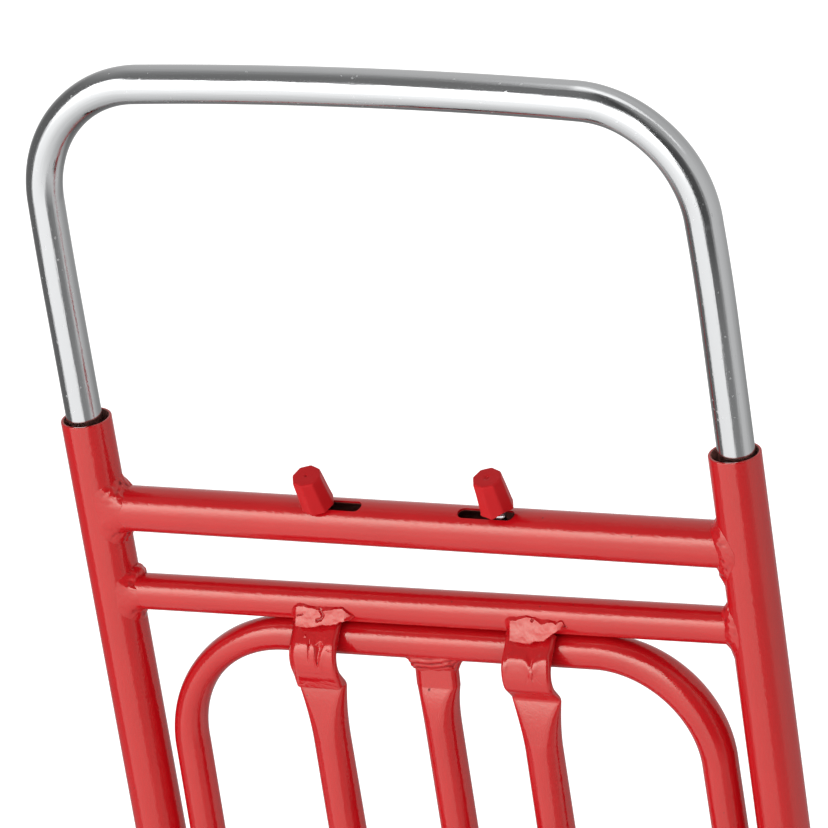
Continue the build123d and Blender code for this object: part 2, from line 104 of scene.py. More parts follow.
def gloss_enamel(name, bore=None, crevice_shade=False):
    """Gloss alkyd enamel, sprayed on bare tube: a deep red with a clear reflection whose edges are ragged from an
    orange peel of 1.6 mm, cloudy thickness every few centimetres, dust nibs and a few dark specks. The bore is the
    inner radius of the tube and the two ways to measure from its axis. Crevices of welds get painted shade: a darker
    colour and a dimmer reflection."""
    made, tree = start_material(name)
    place = add_node(tree, "ShaderNodeTexCoord").outputs["Object"]
    cloud = mottle(tree, place, 28 * mm, 3.0)
    peel = mottle(tree, place, 1.6 * mm, 2.0)
    nibs = add_node(tree, "ShaderNodeTexVoronoi", {"Vector": place, "Scale": 1 / (9 * mm)})
    nib = spread(tree, nibs, 0.03, 0.06, 1.0, 0.0)
    some = calc(tree, "GREATER_THAN", add_node(tree, "ShaderNodeSeparateColor", {0: nibs.outputs["Color"]}), 0.7)
    tint = blend(tree, cloud, "#AE0D15", "#B91018")
    tint = blend(tree, calc(tree, "MULTIPLY", some, nib), tint, "#6B1414")
    height = calc(tree, "MULTIPLY_ADD", nib, 0.3, peel)
    bump = add_node(tree, "ShaderNodeBump", {"Height": height, "Strength": 1.0, "Distance": 0.1 * mm})
    rough = spread(tree, cloud, 0.3, 0.7, 0.1, 0.17)
    shine = 0.6
    if crevice_shade:
        # Painted shade: where a piece marks its crevices, the colour darkens to a deep red and the reflection dims.
        painted_shade = add_node(tree, "ShaderNodeAttribute", attribute_name="painted_shade").outputs["Fac"]
        tint = blend(tree, painted_shade, tint, "#640B11")
        shine = spread(tree, painted_shade, 0.0, 1.0, shine, 0.08)
    if bore:
        radius, *ways = bore
        spot = add_node(tree, "ShaderNodeSeparateXYZ", {0: place})
        offs = []
        for axis, middle, mirrored in ways:
            off = calc(tree, "ABSOLUTE", spot.outputs[axis]) if mirrored else spot.outputs[axis]
            offs.append(calc(tree, "SUBTRACT", off, middle))
        ray = add_node(tree, "ShaderNodeCombineXYZ", dict(enumerate(offs)))
        reach = add_node(tree, "ShaderNodeVectorMath", {0: ray}, operation="LENGTH").outputs["Value"]
        inner = spread(tree, reach, radius + 0.1 * mm, radius + 0.5 * mm, 1.0, 0.0)
        tint = blend(tree, inner, tint, "#7A4640")
        rough = spread(tree, inner, 0.0, 1.0, rough, 0.7)
    return show(made, add_node(tree, "ShaderNodeBsdfPrincipled", {
        "Base Color": tint, "Roughness": rough, "IOR": 1.52, "Specular IOR Level": shine,
        "Specular Tint": linear("#F4FFF0"), "Normal": bump}))


def dress(material, *names):
    """Give CAD nodes a material."""
    for name in names:
        cad[name].data.materials.clear()
        cad[name].data.materials.append(material)


def both(*names):
    """Names of the same node on the left and on the right."""
    return [side + name for name in names for side in ("left_", "right_")]


enamel = gloss_enamel("gloss_red_enamel")
rail_enamel = gloss_enamel("gloss_red_enamel_on_open_tube", bore=(
    rail_bore_r, (0, rail_x, True), (1, rail_y, False)))
weld_enamel = gloss_enamel("gloss_red_enamel_on_weld", crevice_shade=True)
dress(rail_enamel, *both("rail"))


def moulded_plastic(name, dark, light, roughness, grain, shine=0.5):
    """Injection-moulded plastic: an even colour with a fine spark-eroded grain and slightly cloudy gloss."""
    made, tree = start_material(name)
    place = add_node(tree, "ShaderNodeTexCoord").outputs["Object"]
    cloud = mottle(tree, place, 14 * mm, 4.0)
    fine = mottle(tree, place, grain, 2.0)
    bump = add_node(tree, "ShaderNodeBump", {"Height": fine, "Strength": 0.3, "Distance": 0.1 * mm})
    return show(made, add_node(tree, "ShaderNodeBsdfPrincipled", {
        "Base Color": blend(tree, cloud, dark, light),
        "Roughness": spread(tree, cloud, 0.3, 0.7, roughness - 0.06, roughness + 0.06),
        "IOR": 1.46, "Specular IOR Level": shine, "Normal": bump}))


black_plastic = moulded_plastic("moulded_black_polypropylene", "#1B1B1C", "#232324", 0.5, 0.7 * mm)
dress(black_plastic, *both("rail_plug"))

# Crossbars: tubes with coped ends, welded between the rails. The upper one is slotted for the lock fingers,
# the lower one carries the back bars, and the lowest is the pin of the toe's hinge.
lock_bar_r, lock_bore_r, lock_bar_z = 11.25 * mm, 9.75 * mm, 412.2 * mm
lower_bar_r, lower_bar_z, lower_tilt = 9.0 * mm, 368.5 * mm, 0.55
hinge_bar_r, hinge_bar_y, hinge_bar_z = 9.0, 3.0, 22.0  # in mm, along Y from the plane of the rails
slotted_enamel = gloss_enamel(
    "gloss_red_enamel_on_slotted_tube", bore=(lock_bore_r, (1, rail_y, False), (2, lock_bar_z, False)))
dress(slotted_enamel, "lock_crossbar")
dress(enamel, "lower_crossbar", "hinge_crossbar")


def new_object(name, data):
    """A new object in the scene."""
    made = bpy.data.objects.new(name, data)
    bpy.context.scene.collection.objects.link(made)
    return made


def ring_faces(first, rows, count, joined=False):
    """Faces between rings of points, counted from the first point. The last ring may be joined to the first."""
    faces = []
    for i in range(rows if joined else rows - 1):
        a, b = first + i * count, first + (i + 1) % rows * count
        faces += [(a + k, a + (k + 1) % count, b + (k + 1) % count, b + k) for k in range(count)]
    return faces


def turn_out(mesh):
    """Make all faces of a closed mesh look outward."""
    shell = bmesh.new()
    shell.from_mesh(mesh)
    bmesh.ops.recalc_face_normals(shell, faces=shell.faces)
    shell.to_mesh(mesh)
    shell.free()


def make_shape(name, rings, material, joined_ends=False, painted_shade=None, lay=None):
    """Skin a row of rings of points into a closed mesh. The ends are closed by a fan, or joined to each other. Each
    point may have a share of painted crevice shade, and a place that follows the tube: round it and along it."""
    count, rows = len(rings[0]), len(rings)
    points = [p for ring in rings for p in ring]
    faces = ring_faces(0, rows, count, joined_ends)
    if not joined_ends:
        for first, turn in ((0, -1), ((rows - 1) * count, 1)):
            points.append(sum(points[first:first + count], Vector()) / count)
            faces += [(first + k, first + (k + 1) % count, len(points) - 1)[::turn] for k in range(count)]
    mesh = bpy.data.meshes.new(name)
    mesh.from_pydata([tuple(p) for p in points], [], faces)
    if painted_shade:
        shade = mesh.attributes.new("painted_shade", "FLOAT", "POINT")
        values = [v for ring in painted_shade for v in ring]
        shade.data.foreach_set("value", values + [0.0] * (len(points) - len(values)))
    if lay:
        follow = mesh.attributes.new("lay", "FLOAT_VECTOR", "POINT")
        values = [c for ring in lay for place in ring for c in place]
        follow.data.foreach_set("vector", values + [0.0] * (3 * len(points) - len(values)))
    turn_out(mesh)
    mesh.shade_smooth()
    mesh.materials.append(material)
    return new_object(name, mesh)


def make_piece(name, rings, body, material, joined_ends=False, painted_shade=None):
    """A skinned shape that rides on a body."""
    piece = make_shape(name, rings, material, joined_ends, painted_shade)
    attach(piece, body)
    return piece


def clamp(value):
    """The value, held between 0 and 1."""
    return min(1.0, max(0.0, value))


def ease(share):
    """A share from 0 to 1 that starts and ends softly."""
    return share * share * (3 - 2 * share)


def once_round(count):
    """Angles once round a circle."""
    return [2 * math.pi * k / count for k in range(count)]


def steps_to(start, end, count):
    """Even steps after the start, up to the end."""
    return [start + (end - start) * k / count for k in range(1, count + 1)]


def around(points, angle):
    """Values between given angles round a joint, eased from one to the next."""
    points = sorted(points)
    points = [(points[-1][0] - 360,) + points[-1][1:]] + points + [(points[0][0] + 360,) + points[0][1:]]
    for a, b in zip(points, points[1:]):
        if a[0] <= angle <= b[0]:
            t = ease((angle - a[0]) / (b[0] - a[0]))
            return [p + (q - p) * t for p, q in zip(a[1:], b[1:])]


def bar_weld(name, side, bar_r, bar_z, tilt, seed, shape):
    """Weld fillet round the end of a crossbar. The shape gives, at angles from the top of the bar towards the user,
    its reach in mm along the bar and along the rail, how full it is and how rough."""
    rings, painted_shade = [], []
    steps, across = 200, 22
    sink, core = 0.1 * mm, 0.7 * mm
    grain_size, fine_size = 2.6 * mm, 1.2 * mm
    for turn in once_round(steps):
        on_bar, on_rail, full, rough = around(shape, math.degrees(turn))
        jag = noise.noise(Vector((6 * math.cos(turn), 6 * math.sin(turn), seed)))
        on_bar *= (1 + 0.3 * rough * jag) * mm
        on_rail *= (1 - 0.25 * rough * jag) * mm
        out = Vector((0, -math.sin(turn), math.cos(turn)))
        wrap = math.asin(bar_r * math.sin(turn) / rail_r) * rail_r
        rise = bar_r * math.cos(turn)
        far = Vector((wrap, rise))
        far += far.normalized() * on_rail
        phi = wrap / rail_r
        corner = Vector((rail_x - rail_r * math.cos(phi), rail_y - rail_r * math.sin(phi), rise))
        rail_out = Vector((-math.cos(phi), -math.sin(phi), 0))
        start = corner + Vector((-on_bar, 0, 0)) - out * sink
        far_phi = far.x / rail_r
        end_out = Vector((-math.cos(far_phi), -math.sin(far_phi), 0))
        end = Vector((rail_x, rail_y, far.y)) + end_out * (rail_r - sink)
        between = (out + rail_out).normalized()
        pull = corner + between * full * 0.5 * (on_bar + on_rail)
        ring, dark = [], []
        for k in range(across + 1):
            s = k / across
            p = start * (1 - s) ** 2 + pull * 2 * s * (1 - s) + end * s * s
            bell = math.sin(math.pi * s)
            grain = noise.noise(p / grain_size + Vector((0, 0, seed)))
            fine = noise.noise(p / fine_size + Vector((0, seed, 0)))
            lump = (0.1 + 0.6 * rough) * grain + (0.02 + 0.16 * rough) * fine
            ring.append(p + between * bell * lump * mm)
            # Painted shade: the low spots between the lumps are darkened, more where the weld is rough.
            dark.append(clamp(-2.0 * (grain + 0.4 * fine) - 0.3) * bell * min(1.0, 1.4 * rough))
        ring.append(corner - between * core)
        dark.append(0.0)
        tip = math.tan(math.radians(tilt))
        rings.append([Vector((side * p.x, p.y, p.z + bar_z + side * p.x * tip)) for p in ring])
        painted_shade.append(dark)
    return make_piece(name, rings, "frame", weld_enamel, joined_ends=True, painted_shade=painted_shade)


bar_weld("left_lock_crossbar_weld", -1, lock_bar_r, lock_bar_z, 0, 3.1, [
    (0, 4.5, 5.5, 0.6, 1.0), (22, 4.0, 5.5, 0.6, 0.8), (42, 7.0, 8.0, 0.35, 0.15), (62, 9.5, 9.5, 0.2, 0.05),
    (90, 10.0, 9.5, 0.12, 0.03), (120, 8.5, 8.5, 0.2, 0.08), (150, 5.0, 7.0, 0.4, 0.5), (180, 4.0, 6.0, 0.5, 0.8),
    (270, 4.0, 4.5, 0.4, 0.4)])
bar_weld("right_lock_crossbar_weld", 1, lock_bar_r, lock_bar_z, 0, 8.4, [
    (0, 3.0, 4.5, 0.5, 0.5), (40, 4.0, 5.0, 0.6, 0.3), (85, 5.0, 4.5, 0.55, 0.25), (130, 3.0, 5.0, 0.5, 0.5),
    (168, 3.0, 9.0, 0.5, 1.0), (190, 3.0, 8.0, 0.5, 0.9), (270, 4.0, 4.5, 0.4, 0.4)])
bar_weld("left_lower_crossbar_weld", -1, lower_bar_r, lower_bar_z, lower_tilt, 12.7, [
    (0, 4.0, 5.0, 1.3, 0.6), (20, 3.4, 5.0, 1.1, 0.45), (40, 2.6, 6.0, 0.4, 0.15), (62, 6.0, 7.5, 0.22, 0.05),
    (90, 8.0, 8.0, 0.15, 0.03), (115, 7.5, 7.0, 0.2, 0.05), (145, 4.5, 6.0, 0.4, 0.3), (172, 3.5, 6.5, 0.5, 0.7),
    (270, 3.5, 4.0, 0.4, 0.4)])
bar_weld("right_lower_crossbar_weld", 1, lower_bar_r, lower_bar_z, lower_tilt, 17.9, [
    (0, 3.0, 5.0, 0.6, 0.7), (28, 4.0, 6.0, 0.9, 0.6), (60, 3.4, 5.0, 0.7, 0.4), (95, 4.5, 4.5, 0.5, 0.2),
    (140, 3.5, 6.0, 0.3, 0.3), (175, 3.0, 8.0, 0.3, 0.3), (270, 3.5, 4.0, 0.4, 0.4)])
for name, side, seed in (("left", -1, 21.3), ("right", 1, 26.1)):
    bar_weld(name + "_hinge_crossbar_weld", side, hinge_bar_r * mm, hinge_bar_z * mm, 0, seed, [
        (0, 0.8, 3.6, 0.3, 0.3), (80, 0.8, 3.8, 0.3, 0.2), (180, 0.8, 3.4, 0.3, 0.3), (270, 0.8, 3.6, 0.3, 0.2)])

# Back bars: tubes pressed flat at both ends. The upper end leaves the lower crossbar, bulges round the folded
# toe loop and kinks back, and the press has left grooves and creases in it. A thick weld holds each end.
loop_r, loop_z = 8.75 * mm, 350.35 * mm
back_d, press_d, back_flat = 18.4 * mm, 17.8 * mm, 4.5 * mm
back_x = {"left": -57.7 * mm, "right": 55.5 * mm}
hook_r = 11.5 * mm
hook_turns = (30.0, 45.5)
hook_reaches = {"left": 21.7 * mm, "right": 22.7 * mm}
hook_bend, kink_bend, kink_lead = 13.2 * mm, 3.0 * mm, 1.2 * mm
kink_y = -11.0 * mm
kink_z = {"left": 330.2 * mm, "right": 329.2 * mm}
tab_y, tab_z, tab_length = -8.35 * mm, 14.0 * mm, 30.0 * mm
back_tapers = {"left": (30.8 * mm, 2.0), "right": (25.8 * mm, 1.6)}
rear_press, rear_press_length = 0.22, 70.0 * mm
marked_length, wrap_steps, fine_step = 60.0 * mm, 14, 0.22 * mm
face_edges = (0.2, 0.8)
slope = math.tan(math.radians(lower_tilt))


def bent_path(corners, bends, step, bend_step):
    """Stations along straight runs joined by arcs: place, direction, and the share of the bend passed."""
    found = []
    start = corners[0]
    for before, corner, after, bend in zip(corners, corners[1:], corners[2:], bends):
        into = (corner - before).normalized()
        away = (after - corner).normalized()
        turn = into.angle(away)
        arc_start = corner - into * bend * math.tan(turn / 2)
        count = max(1, round((arc_start - start).length / step))
        found += [(start.lerp(arc_start, k / count), into, 0.0) for k in range(count)]
        axis = into.cross(away).normalized()
        centre = arc_start + axis.cross(into) * bend
        count = max(6, round(turn * bend / bend_step))
        for k in range(count):
            swing = Quaternion(axis, turn * k / count)
            found.append((centre + swing @ (arc_start - centre), swing @ into, k / count))
        start = centre + Quaternion(axis, turn) @ (arc_start - centre)
    run = corners[-1] - start
    count = max(1, round(run.length / step))
    return found + [(start + run * k / count, run.normalized(), 0.0) for k in range(count + 1)]


def pressed_point(diameter, thickness, share):
    """Point on a tube pressed to a thickness with its girth kept: flat faces joined by half circles. The share
    of the girth starts in the middle of the face that looks back."""
    half, r = math.pi * (diameter - thickness) / 4, thickness / 2
    s = share * math.pi * diameter
    if s < half:
        return -s, r
    s -= half
    if s < math.pi * r:
        return -half - r * math.sin(s / r), r * math.cos(s / r)
    s -= math.pi * r
    if s < 2 * half:
        return s - half, -r
    s -= 2 * half
    if s < math.pi * r:
        return half + r * math.sin(s / r), -r * math.cos(s / r)
    return half - (s - math.pi * r), r


def groove(u, v, points, half_width, depth):
    """Depth of a groove with sloping sides along a line through given places."""
    gap = half_width
    for (u0, v0), (u1, v1) in zip(points, points[1:]):
        du, dv = u1 - u0, v1 - v0
        t = clamp(((u - u0) * du + (v - v0) * dv) / (du * du + dv * dv))
        gap = min(gap, math.hypot(u - u0 - t * du, v - v0 - t * dv))
    return depth * ease(1 - gap / half_width)


def along(points, x):
    """Value between given places, in a straight line from one to the next."""
    for (x0, y0), (x1, y1) in zip(points, points[1:]):
        if x <= x1:
            return y0 + (y1 - y0) * (x - x0) / (x1 - x0)
    return points[-1][1]


def fold(u, v, left, floor, right, depths):
    """Depth of a sharp fold with two sloping walls. Its edges and its floor are places across, given along it."""
    depth = along(depths, v)
    edge, low, far = along(left, v), along(floor, v), along(right, v)
    if depth <= 0 or not edge < u < far:
        return 0.0
    t = (u - edge) / (low - edge) if u < low else (far - u) / (far - low)
    return depth * t * (1.3 - 0.3 * t) if t < 1 else depth


def dent(u, v, at_u, at_v, wide, tall):
    """Share of a round dent, 1 in its middle."""
    return math.exp(-((u - at_u) / wide) ** 2 - ((v - at_v) / tall) ** 2)


def swelling(u, v, brow, rise):
    """The bulge that the press pushed up in front of the bend. The brow is where it starts, given across the bar."""
    return rise * math.exp(-((v - along(brow, u) - 0.9) / 3.2) ** 2)


def left_press_marks(u, v):
    """Depth in mm on the left hook, u across and v along it: a swelling split by two folds, a nick, a drop of
    paint, and wrinkles over the kink."""
    depth = -swelling(u, v, [
        (-13, 16.4), (-8.8, 15), (-8.3, 12.6), (-5.9, 11.2), (-3, 11), (-1.8, 12.6), (-1.2, 15), (-0.5, 12.6),
        (0.6, 11.8), (1.6, 13), (2.6, 19), (5, 19), (6.2, 15.6), (7.4, 12.4), (9.4, 10.6), (13, 10.4)], 0.35)
    edge = max(0.0, -8.0 - u)
    depth += 0.18 * edge * edge * math.exp(-(max(0.0, v - 20) / 10) ** 4)
    depth += fold(u, v, [(10, -1.35), (12, -1.9), (14, -1.9), (16.9, -1.7), (21, -1.7)],
                  [(10, -1.3), (16, -1.2), (21, -1.15)],
                  [(10, -1.25), (12, -0.6), (13.5, -0.5), (15.6, -0.7), (21, -0.6)],
                  [(10, 0.0), (12, 0.75), (14, 0.75), (16, 0.65), (18.5, 0.45), (21, 0.0)])
    depth += fold(u, v, [(10.5, 4.3), (13, 1.8), (13.8, 1.7), (16.6, 2.1), (20.5, 2.9), (22.5, 3.6)],
                  [(10.5, 4.4), (13, 4.2), (16.6, 3.7), (20.5, 3.7), (22.5, 3.9)],
                  [(10.5, 4.5), (13, 7.1), (15.2, 5.9), (18, 5.2), (20.5, 4.7), (22.5, 4.3)],
                  [(10.5, 0.0), (13, 1.5), (14, 1.55), (16, 1.4), (18, 1.1), (20.5, 0.65), (22.5, 0.0)])
    depth += groove(u, v, [(8.6, 14.0), (9.8, 14.6), (11.0, 14.6), (12.2, 14.1)], 0.4, 0.26)
    depth -= 0.45 * dent(u, v, -4.0, 8.5, 0.5, 0.5)
    for line in ([(-10.1, 32.2), (-8, 32.4), (-4.9, 30.2), (-2.2, 30.3), (0, 31.4)],
                 [(2.6, 29.6), (5.4, 29.0), (7.2, 29.6), (9.3, 30.0)], [(1.5, 31.0), (6.0, 31.9), (11.5, 33.4)]):
        depth += groove(u, v, line, 0.5, 0.16)
    return depth - along([(25.5, 0.0), (29.75, 0.75), (34.2, 2.3), (35.0, 0.3), (99, 0.0)], max(v, 25.5))


def right_press_marks(u, v):
    """Depth in mm on the right hook: a swelling with a funnel in its upper edge, a crossed crease under it, and a
    flat facet over the kink."""
    depth = -swelling(u, v, [
        (-13, 16), (-9.7, 15.1), (-8.4, 12.3), (-5.4, 11.9), (-1.7, 12.1), (0.4, 13), (1.6, 14.6), (3.5, 18.2),
        (4.6, 15.4), (6.2, 13.6), (7.6, 12), (9, 11.4), (13, 10.8)], 0.7)
    depth += groove(u, v, [(3.1, 17.4), (2.1, 19.4), (0.6, 22.9)], 0.8, 0.16)
    depth += groove(u, v, [(4.1, 17.3), (5.7, 19.9), (8.3, 22.8)], 0.8, 0.16)
    depth += 0.45 * dent(u, v, 4.1, 20.8, 1.0, 0.9)
    crease = noise.noise(Vector((u / 6.5, v / 2.2, 9.1)))
    facet = along([(26.6, 0.0), (27.4, 0.1), (31, 1.05), (36, 1.4), (99, 1.4)], max(v, 26.6))
    return depth + facet + 0.12 * crease * math.exp(-((v - 30) / 4) ** 4)


def around_bar(centre, radius, angle):
    """Point round a bar, at an angle from its top towards the user."""
    return centre + radius * Vector((0, -math.sin(angle), math.cos(angle)))


def back_bar(side, marks):
    """One back bar as rings along its bent path, marked on its rear face."""
    middle = back_x[side]
    lift = middle * slope
    loop = Vector((middle, rail_y, loop_z + lift))
    first, last = (math.radians(a) for a in hook_turns)
    stations = []
    for k in range(wrap_steps):
        a = first + (last - first) * k / wrap_steps
        stations.append((around_bar(loop, hook_r, a), Vector((0, -math.cos(a), -math.sin(a))), 0.0))
    leave = around_bar(loop, hook_r, last)
    reach = hook_reaches[side]
    drop = (reach - hook_r * math.sin(last)) * math.tan(last)
    bulge = Vector((middle, rail_y - reach, leave.z - drop))
    kink = Vector((middle, rail_y + kink_y, kink_z[side] + lift))
    end = Vector((middle, rail_y + tab_y, tab_z))
    down = (end - kink).normalized()
    kink_end = kink + down * kink_lead
    stations += bent_path([leave, bulge, kink, kink_end], [hook_bend, kink_bend], fine_step, fine_step)
    run = (end - kink_end).length
    taper, power = back_tapers[side]
    low_taper = run - tab_length - taper
    reaches = steps_to(0.0, taper, 48) + steps_to(taper, low_taper, 24)
    reaches += steps_to(low_taper, run - tab_length, 20) + steps_to(run - tab_length, run, 10)
    hook_count = len(stations)
    stations += [(kink_end + down * reach, down, 0.0) for reach in reaches]
    shares = [0.0] + steps_to(0.0, face_edges[0], 64) + steps_to(*face_edges, 56)
    shares += steps_to(face_edges[1], 1.0, 64)[:-1]
    rings = []
    gone = 0.0
    for i, (centre, along, _) in enumerate(stations):
        if i:
            gone += (centre - stations[i - 1][0]).length
        after = 0.0 if i < hook_count else reaches[i - hook_count]
        press = (1 - min(1.0, after / taper)) ** power
        press = max(press, min(1.0, (after - low_taper) / taper))
        thick = back_d + (back_flat - back_d) * press
        wide = back_d + (press_d - back_d) * press
        out = along.cross(Vector((1, 0, 0)))
        ring = []
        for share in shares:
            x, y = pressed_point(wide, thick, share)
            if y > 0:
                y *= 1 - rear_press * (1 - press) * max(0.0, 1 - after / rear_press_length)
            if y > 0 and gone < marked_length:
                fade = min(1.0, y / (thick / 2)) * press
                y -= marks(x / mm, gone / mm) * mm * fade
            ring.append(centre + Vector((x, 0, 0)) + out * y)
        rings.append(ring)
    piece = make_piece(side + "_pressed_back_bar", rings, "frame", enamel)
    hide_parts(side + "_back_bar")


back_bar("left", left_press_marks)
back_bar("right", right_press_marks)


def hook_weld(side, top, low, ledge, cracks, pits, seed):
    """Thick weld over the end of a back bar. Its upper and lower outlines are heights in mm over the axis of the
    crossbar, along X from the middle of the back bar. The ledge is the width of its sloping upper edge."""
    rings, painted_shade = [], []
    columns, rows = 170, 56
    left, right = top[0][0], top[-1][0]
    strip_r = (hook_r + back_flat / 2) / mm
    strip_half, strip_top, behind = 12.6, -5.5, 4 * mm
    face_y, face_z, face_slope = 10.1, 1.8, 0.47
    crack_depth, pit_depth = 0.7, 0.8
    under = (lower_bar_z - loop_z) / mm
    for i in range(columns + 1):
        x = left + (right - left) * i / columns
        jag = noise.noise(Vector((x / 1.6, seed, 5)))
        z_top = along(top, x) + 0.25 * jag
        z_low = min(along(low, x) + 0.2 * jag, z_top - 0.3)
        shelf = along(ledge, x)
        rise = clamp((x - left) / 4.4) ** 1.6 * clamp((right - x) / 4.5) ** 0.7
        ring, dark = [], []
        for k in range(rows + 1):
            z = z_top + (z_low - z_top) * k / rows
            ground = math.sqrt(max(1.0, (lower_bar_r / mm) ** 2 - z * z))
            on_strip = strip_r * strip_r - (z + under) ** 2
            if abs(x) < strip_half and on_strip > 0 and z < strip_top:
                ground = max(ground, math.sqrt(on_strip))
            lump = noise.noise(Vector((x / 4.5, z / 3.5, seed)))
            fine = noise.noise(Vector((x / 1.5, z / 1.5, seed + 3)))
            face = face_y + (face_z - z) * face_slope + 0.3 * lump + 0.08 * fine
            crack = max(groove(x, z, line, width, 1.0) for line, width in cracks)
            pit = max((dent(x, z, *spot) for spot in pits), default=0.0)
            up = min(1.0, (z_top - z) / shelf)
            foot = clamp(z - z_low)
            lip = min(up, math.sqrt(1 - (1 - foot) ** 2))
            y = ground - 0.15 + max(0.0, face - ground) * lip * rise - (crack_depth * crack + pit_depth * pit) * lip
            ring.append(Vector((back_x[side] + x * mm, rail_y - y * mm, lower_bar_z + z * mm)))
            # Painted shade in the cracks and the pit: they darken as well as sink.
            dark.append(min(1.0, 0.45 * crack + pit))
        ring += [Vector((p.x, rail_y - behind, p.z)) for p in (ring[-1], ring[0])]
        rings.append([p + Vector((0, 0, p.x * slope)) for p in ring])
        painted_shade.append(dark + [0.0, 0.0])
    make_piece(side + "_hook_weld", rings, "frame", weld_enamel, painted_shade=painted_shade)


hook_weld("left", [
    (-12.6, -4.8), (-11.3, 0.1), (-10, 1.6), (-7.6, 3.1), (-4.3, 3.0), (-1.8, 2.3), (0.3, 1.8), (3.5, 2.0),
    (10, 2.2), (13.7, 2.2), (16.5, 2.4), (18.8, 0.3), (21.5, -1.6), (22, -2.4)], [
    (-12.6, -7.2), (-9, -7.6), (-6, -7.9), (-2.7, -8.1), (0.5, -7.9), (3.9, -7.3), (6.2, -6.4), (7.2, -6.9),
    (10.5, -6.4), (13.3, -6.0), (15.7, -4.8), (20.5, -4.2), (22, -3.2)], [
    (-11, 0.8), (-7.6, 1.4), (0, 0.5), (4, 1.4), (6, 2.0), (11, 1.1), (14, 0.5), (22, 0.5)],
    [([(4.4, 0.8), (6.3, -1.7), (5.4, -3.3), (3.2, -4.0)], 1.1), ([(-7.3, -2.2), (-4.5, -1.7)], 0.5)],
    [], 2.3)
hook_weld("right", [
    (-12.6, -4.8), (-12.1, -0.3), (-10.8, 1.6), (-9.1, 2.8), (-4.9, 2.8), (-0.1, 3.7), (2.3, 3.1), (7.4, 2.3),
    (12.5, 2.0), (15.5, 1.3), (17, 2.0), (18.5, 2.2), (19.6, 0.0), (20.8, -0.9)], [
    (-12.6, -7.4), (-9.4, -8.2), (-6.4, -8.7), (-3.9, -8.8), (-1.3, -9.1), (1.2, -9.3), (2.8, -9.1), (5, -8.2),
    (9.8, -7.7), (11.6, -6.4), (13.4, -4.8), (16.7, -3.0), (20.8, -1.9)], [
    (-11, 0.8), (-8.3, 2.0), (-2.4, 1.2), (0.3, 0.7), (2.9, 0.4), (5, 1.0), (8.2, 2.2), (11, 1.2), (13.1, 0.5),
    (15.5, 1.0), (18, 0.4), (21, 0.4)],
    [([(3.2, 2.2), (2.5, 1.5), (3.2, 0.9), (3.9, 1.6), (3.2, 2.2)], 0.35)], [(19.6, -0.7, 0.6, 0.5)], 6.6)


def settle(piece):
    """Turn a piece and its modifiers into a plain mesh."""
    mesh = bpy.data.meshes.new_from_object(piece.evaluated_get(bpy.context.evaluated_depsgraph_get()))
    mesh.name = piece.name
    piece.modifiers.clear()
    piece.data = mesh


def start_nodes(name, inputs):
    """New geometry nodes that take a geometry and other inputs, and the sockets that bring them."""
    tree = bpy.data.node_groups.new(name, "GeometryNodeTree")
    for title, kind in {"Geometry": "Geometry", **inputs}.items():
        tree.interface.new_socket(title, in_out="INPUT", socket_type="NodeSocket" + kind)
    tree.interface.new_socket("Geometry", in_out="OUTPUT", socket_type="NodeSocketGeometry")
    return tree, tree.nodes.new("NodeGroupInput").outputs


def bead_nodes():
    """Nodes that lay a rippled bead of weld metal along the edges of a mesh."""
    tree, given = start_nodes("weld_bead", {
        "Bead Radius": "Float", "Ripple Pitch": "Float", "Lumpiness": "Float", "Seed": "Float"})
    line = add_node(tree, "GeometryNodeMeshToCurve", {"Mesh": given["Geometry"]})
    line = add_node(tree, "GeometryNodeResampleCurve", {"Curve": line, "Length": 0.5 * mm}, mode="LENGTH")
    run = add_node(tree, "GeometryNodeSplineParameter").outputs["Length"]
    turns = calc(tree, "MULTIPLY", calc(tree, "DIVIDE", run, given["Ripple Pitch"]), math.pi)
    ripple = calc(tree, "ABSOLUTE", calc(tree, "SINE", turns))
    lump = add_node(tree, "ShaderNodeTexNoise", {
        "Vector": add_node(tree, "GeometryNodeInputPosition"), "W": given["Seed"], "Scale": 1 / (5 * mm),
        "Detail": 2.0}, noise_dimensions="4D")
    size = calc(tree, "MULTIPLY_ADD", ripple, 0.22, 0.84)
    size = calc(tree, "MULTIPLY_ADD", calc(tree, "SUBTRACT", lump, 0.5), given["Lumpiness"], size)
    size = calc(tree, "MULTIPLY", size, given["Bead Radius"])
    circle = add_node(tree, "GeometryNodeCurvePrimitiveCircle", {"Resolution": 14, "Radius": 1.0})
    bead = add_node(tree, "GeometryNodeCurveToMesh", {
        "Curve": line, "Profile Curve": circle, "Scale": size, "Fill Caps": True})
    bead = add_node(tree, "GeometryNodeSetShadeSmooth", {"Geometry": bead})
    bead = add_node(tree, "GeometryNodeRealizeInstances", {"Geometry": bead})
    bead = add_node(tree, "GeometryNodeSetMaterial", {"Geometry": bead, "Material": weld_enamel})
    add_node(tree, "NodeGroupOutput", {"Geometry": bead})
    return tree


def grow(piece, tree, sizes):
    """Run geometry nodes on a piece with the given sizes, and keep the result as a plain mesh."""
    maker = piece.modifiers.new(tree.name, "NODES")
    maker.node_group = tree
    for item in tree.interface.items_tree:
        if item.in_out == "INPUT" and item.name in sizes:
            maker[item.identifier] = sizes[item.name]
    settle(piece)


weld_bead = bead_nodes()


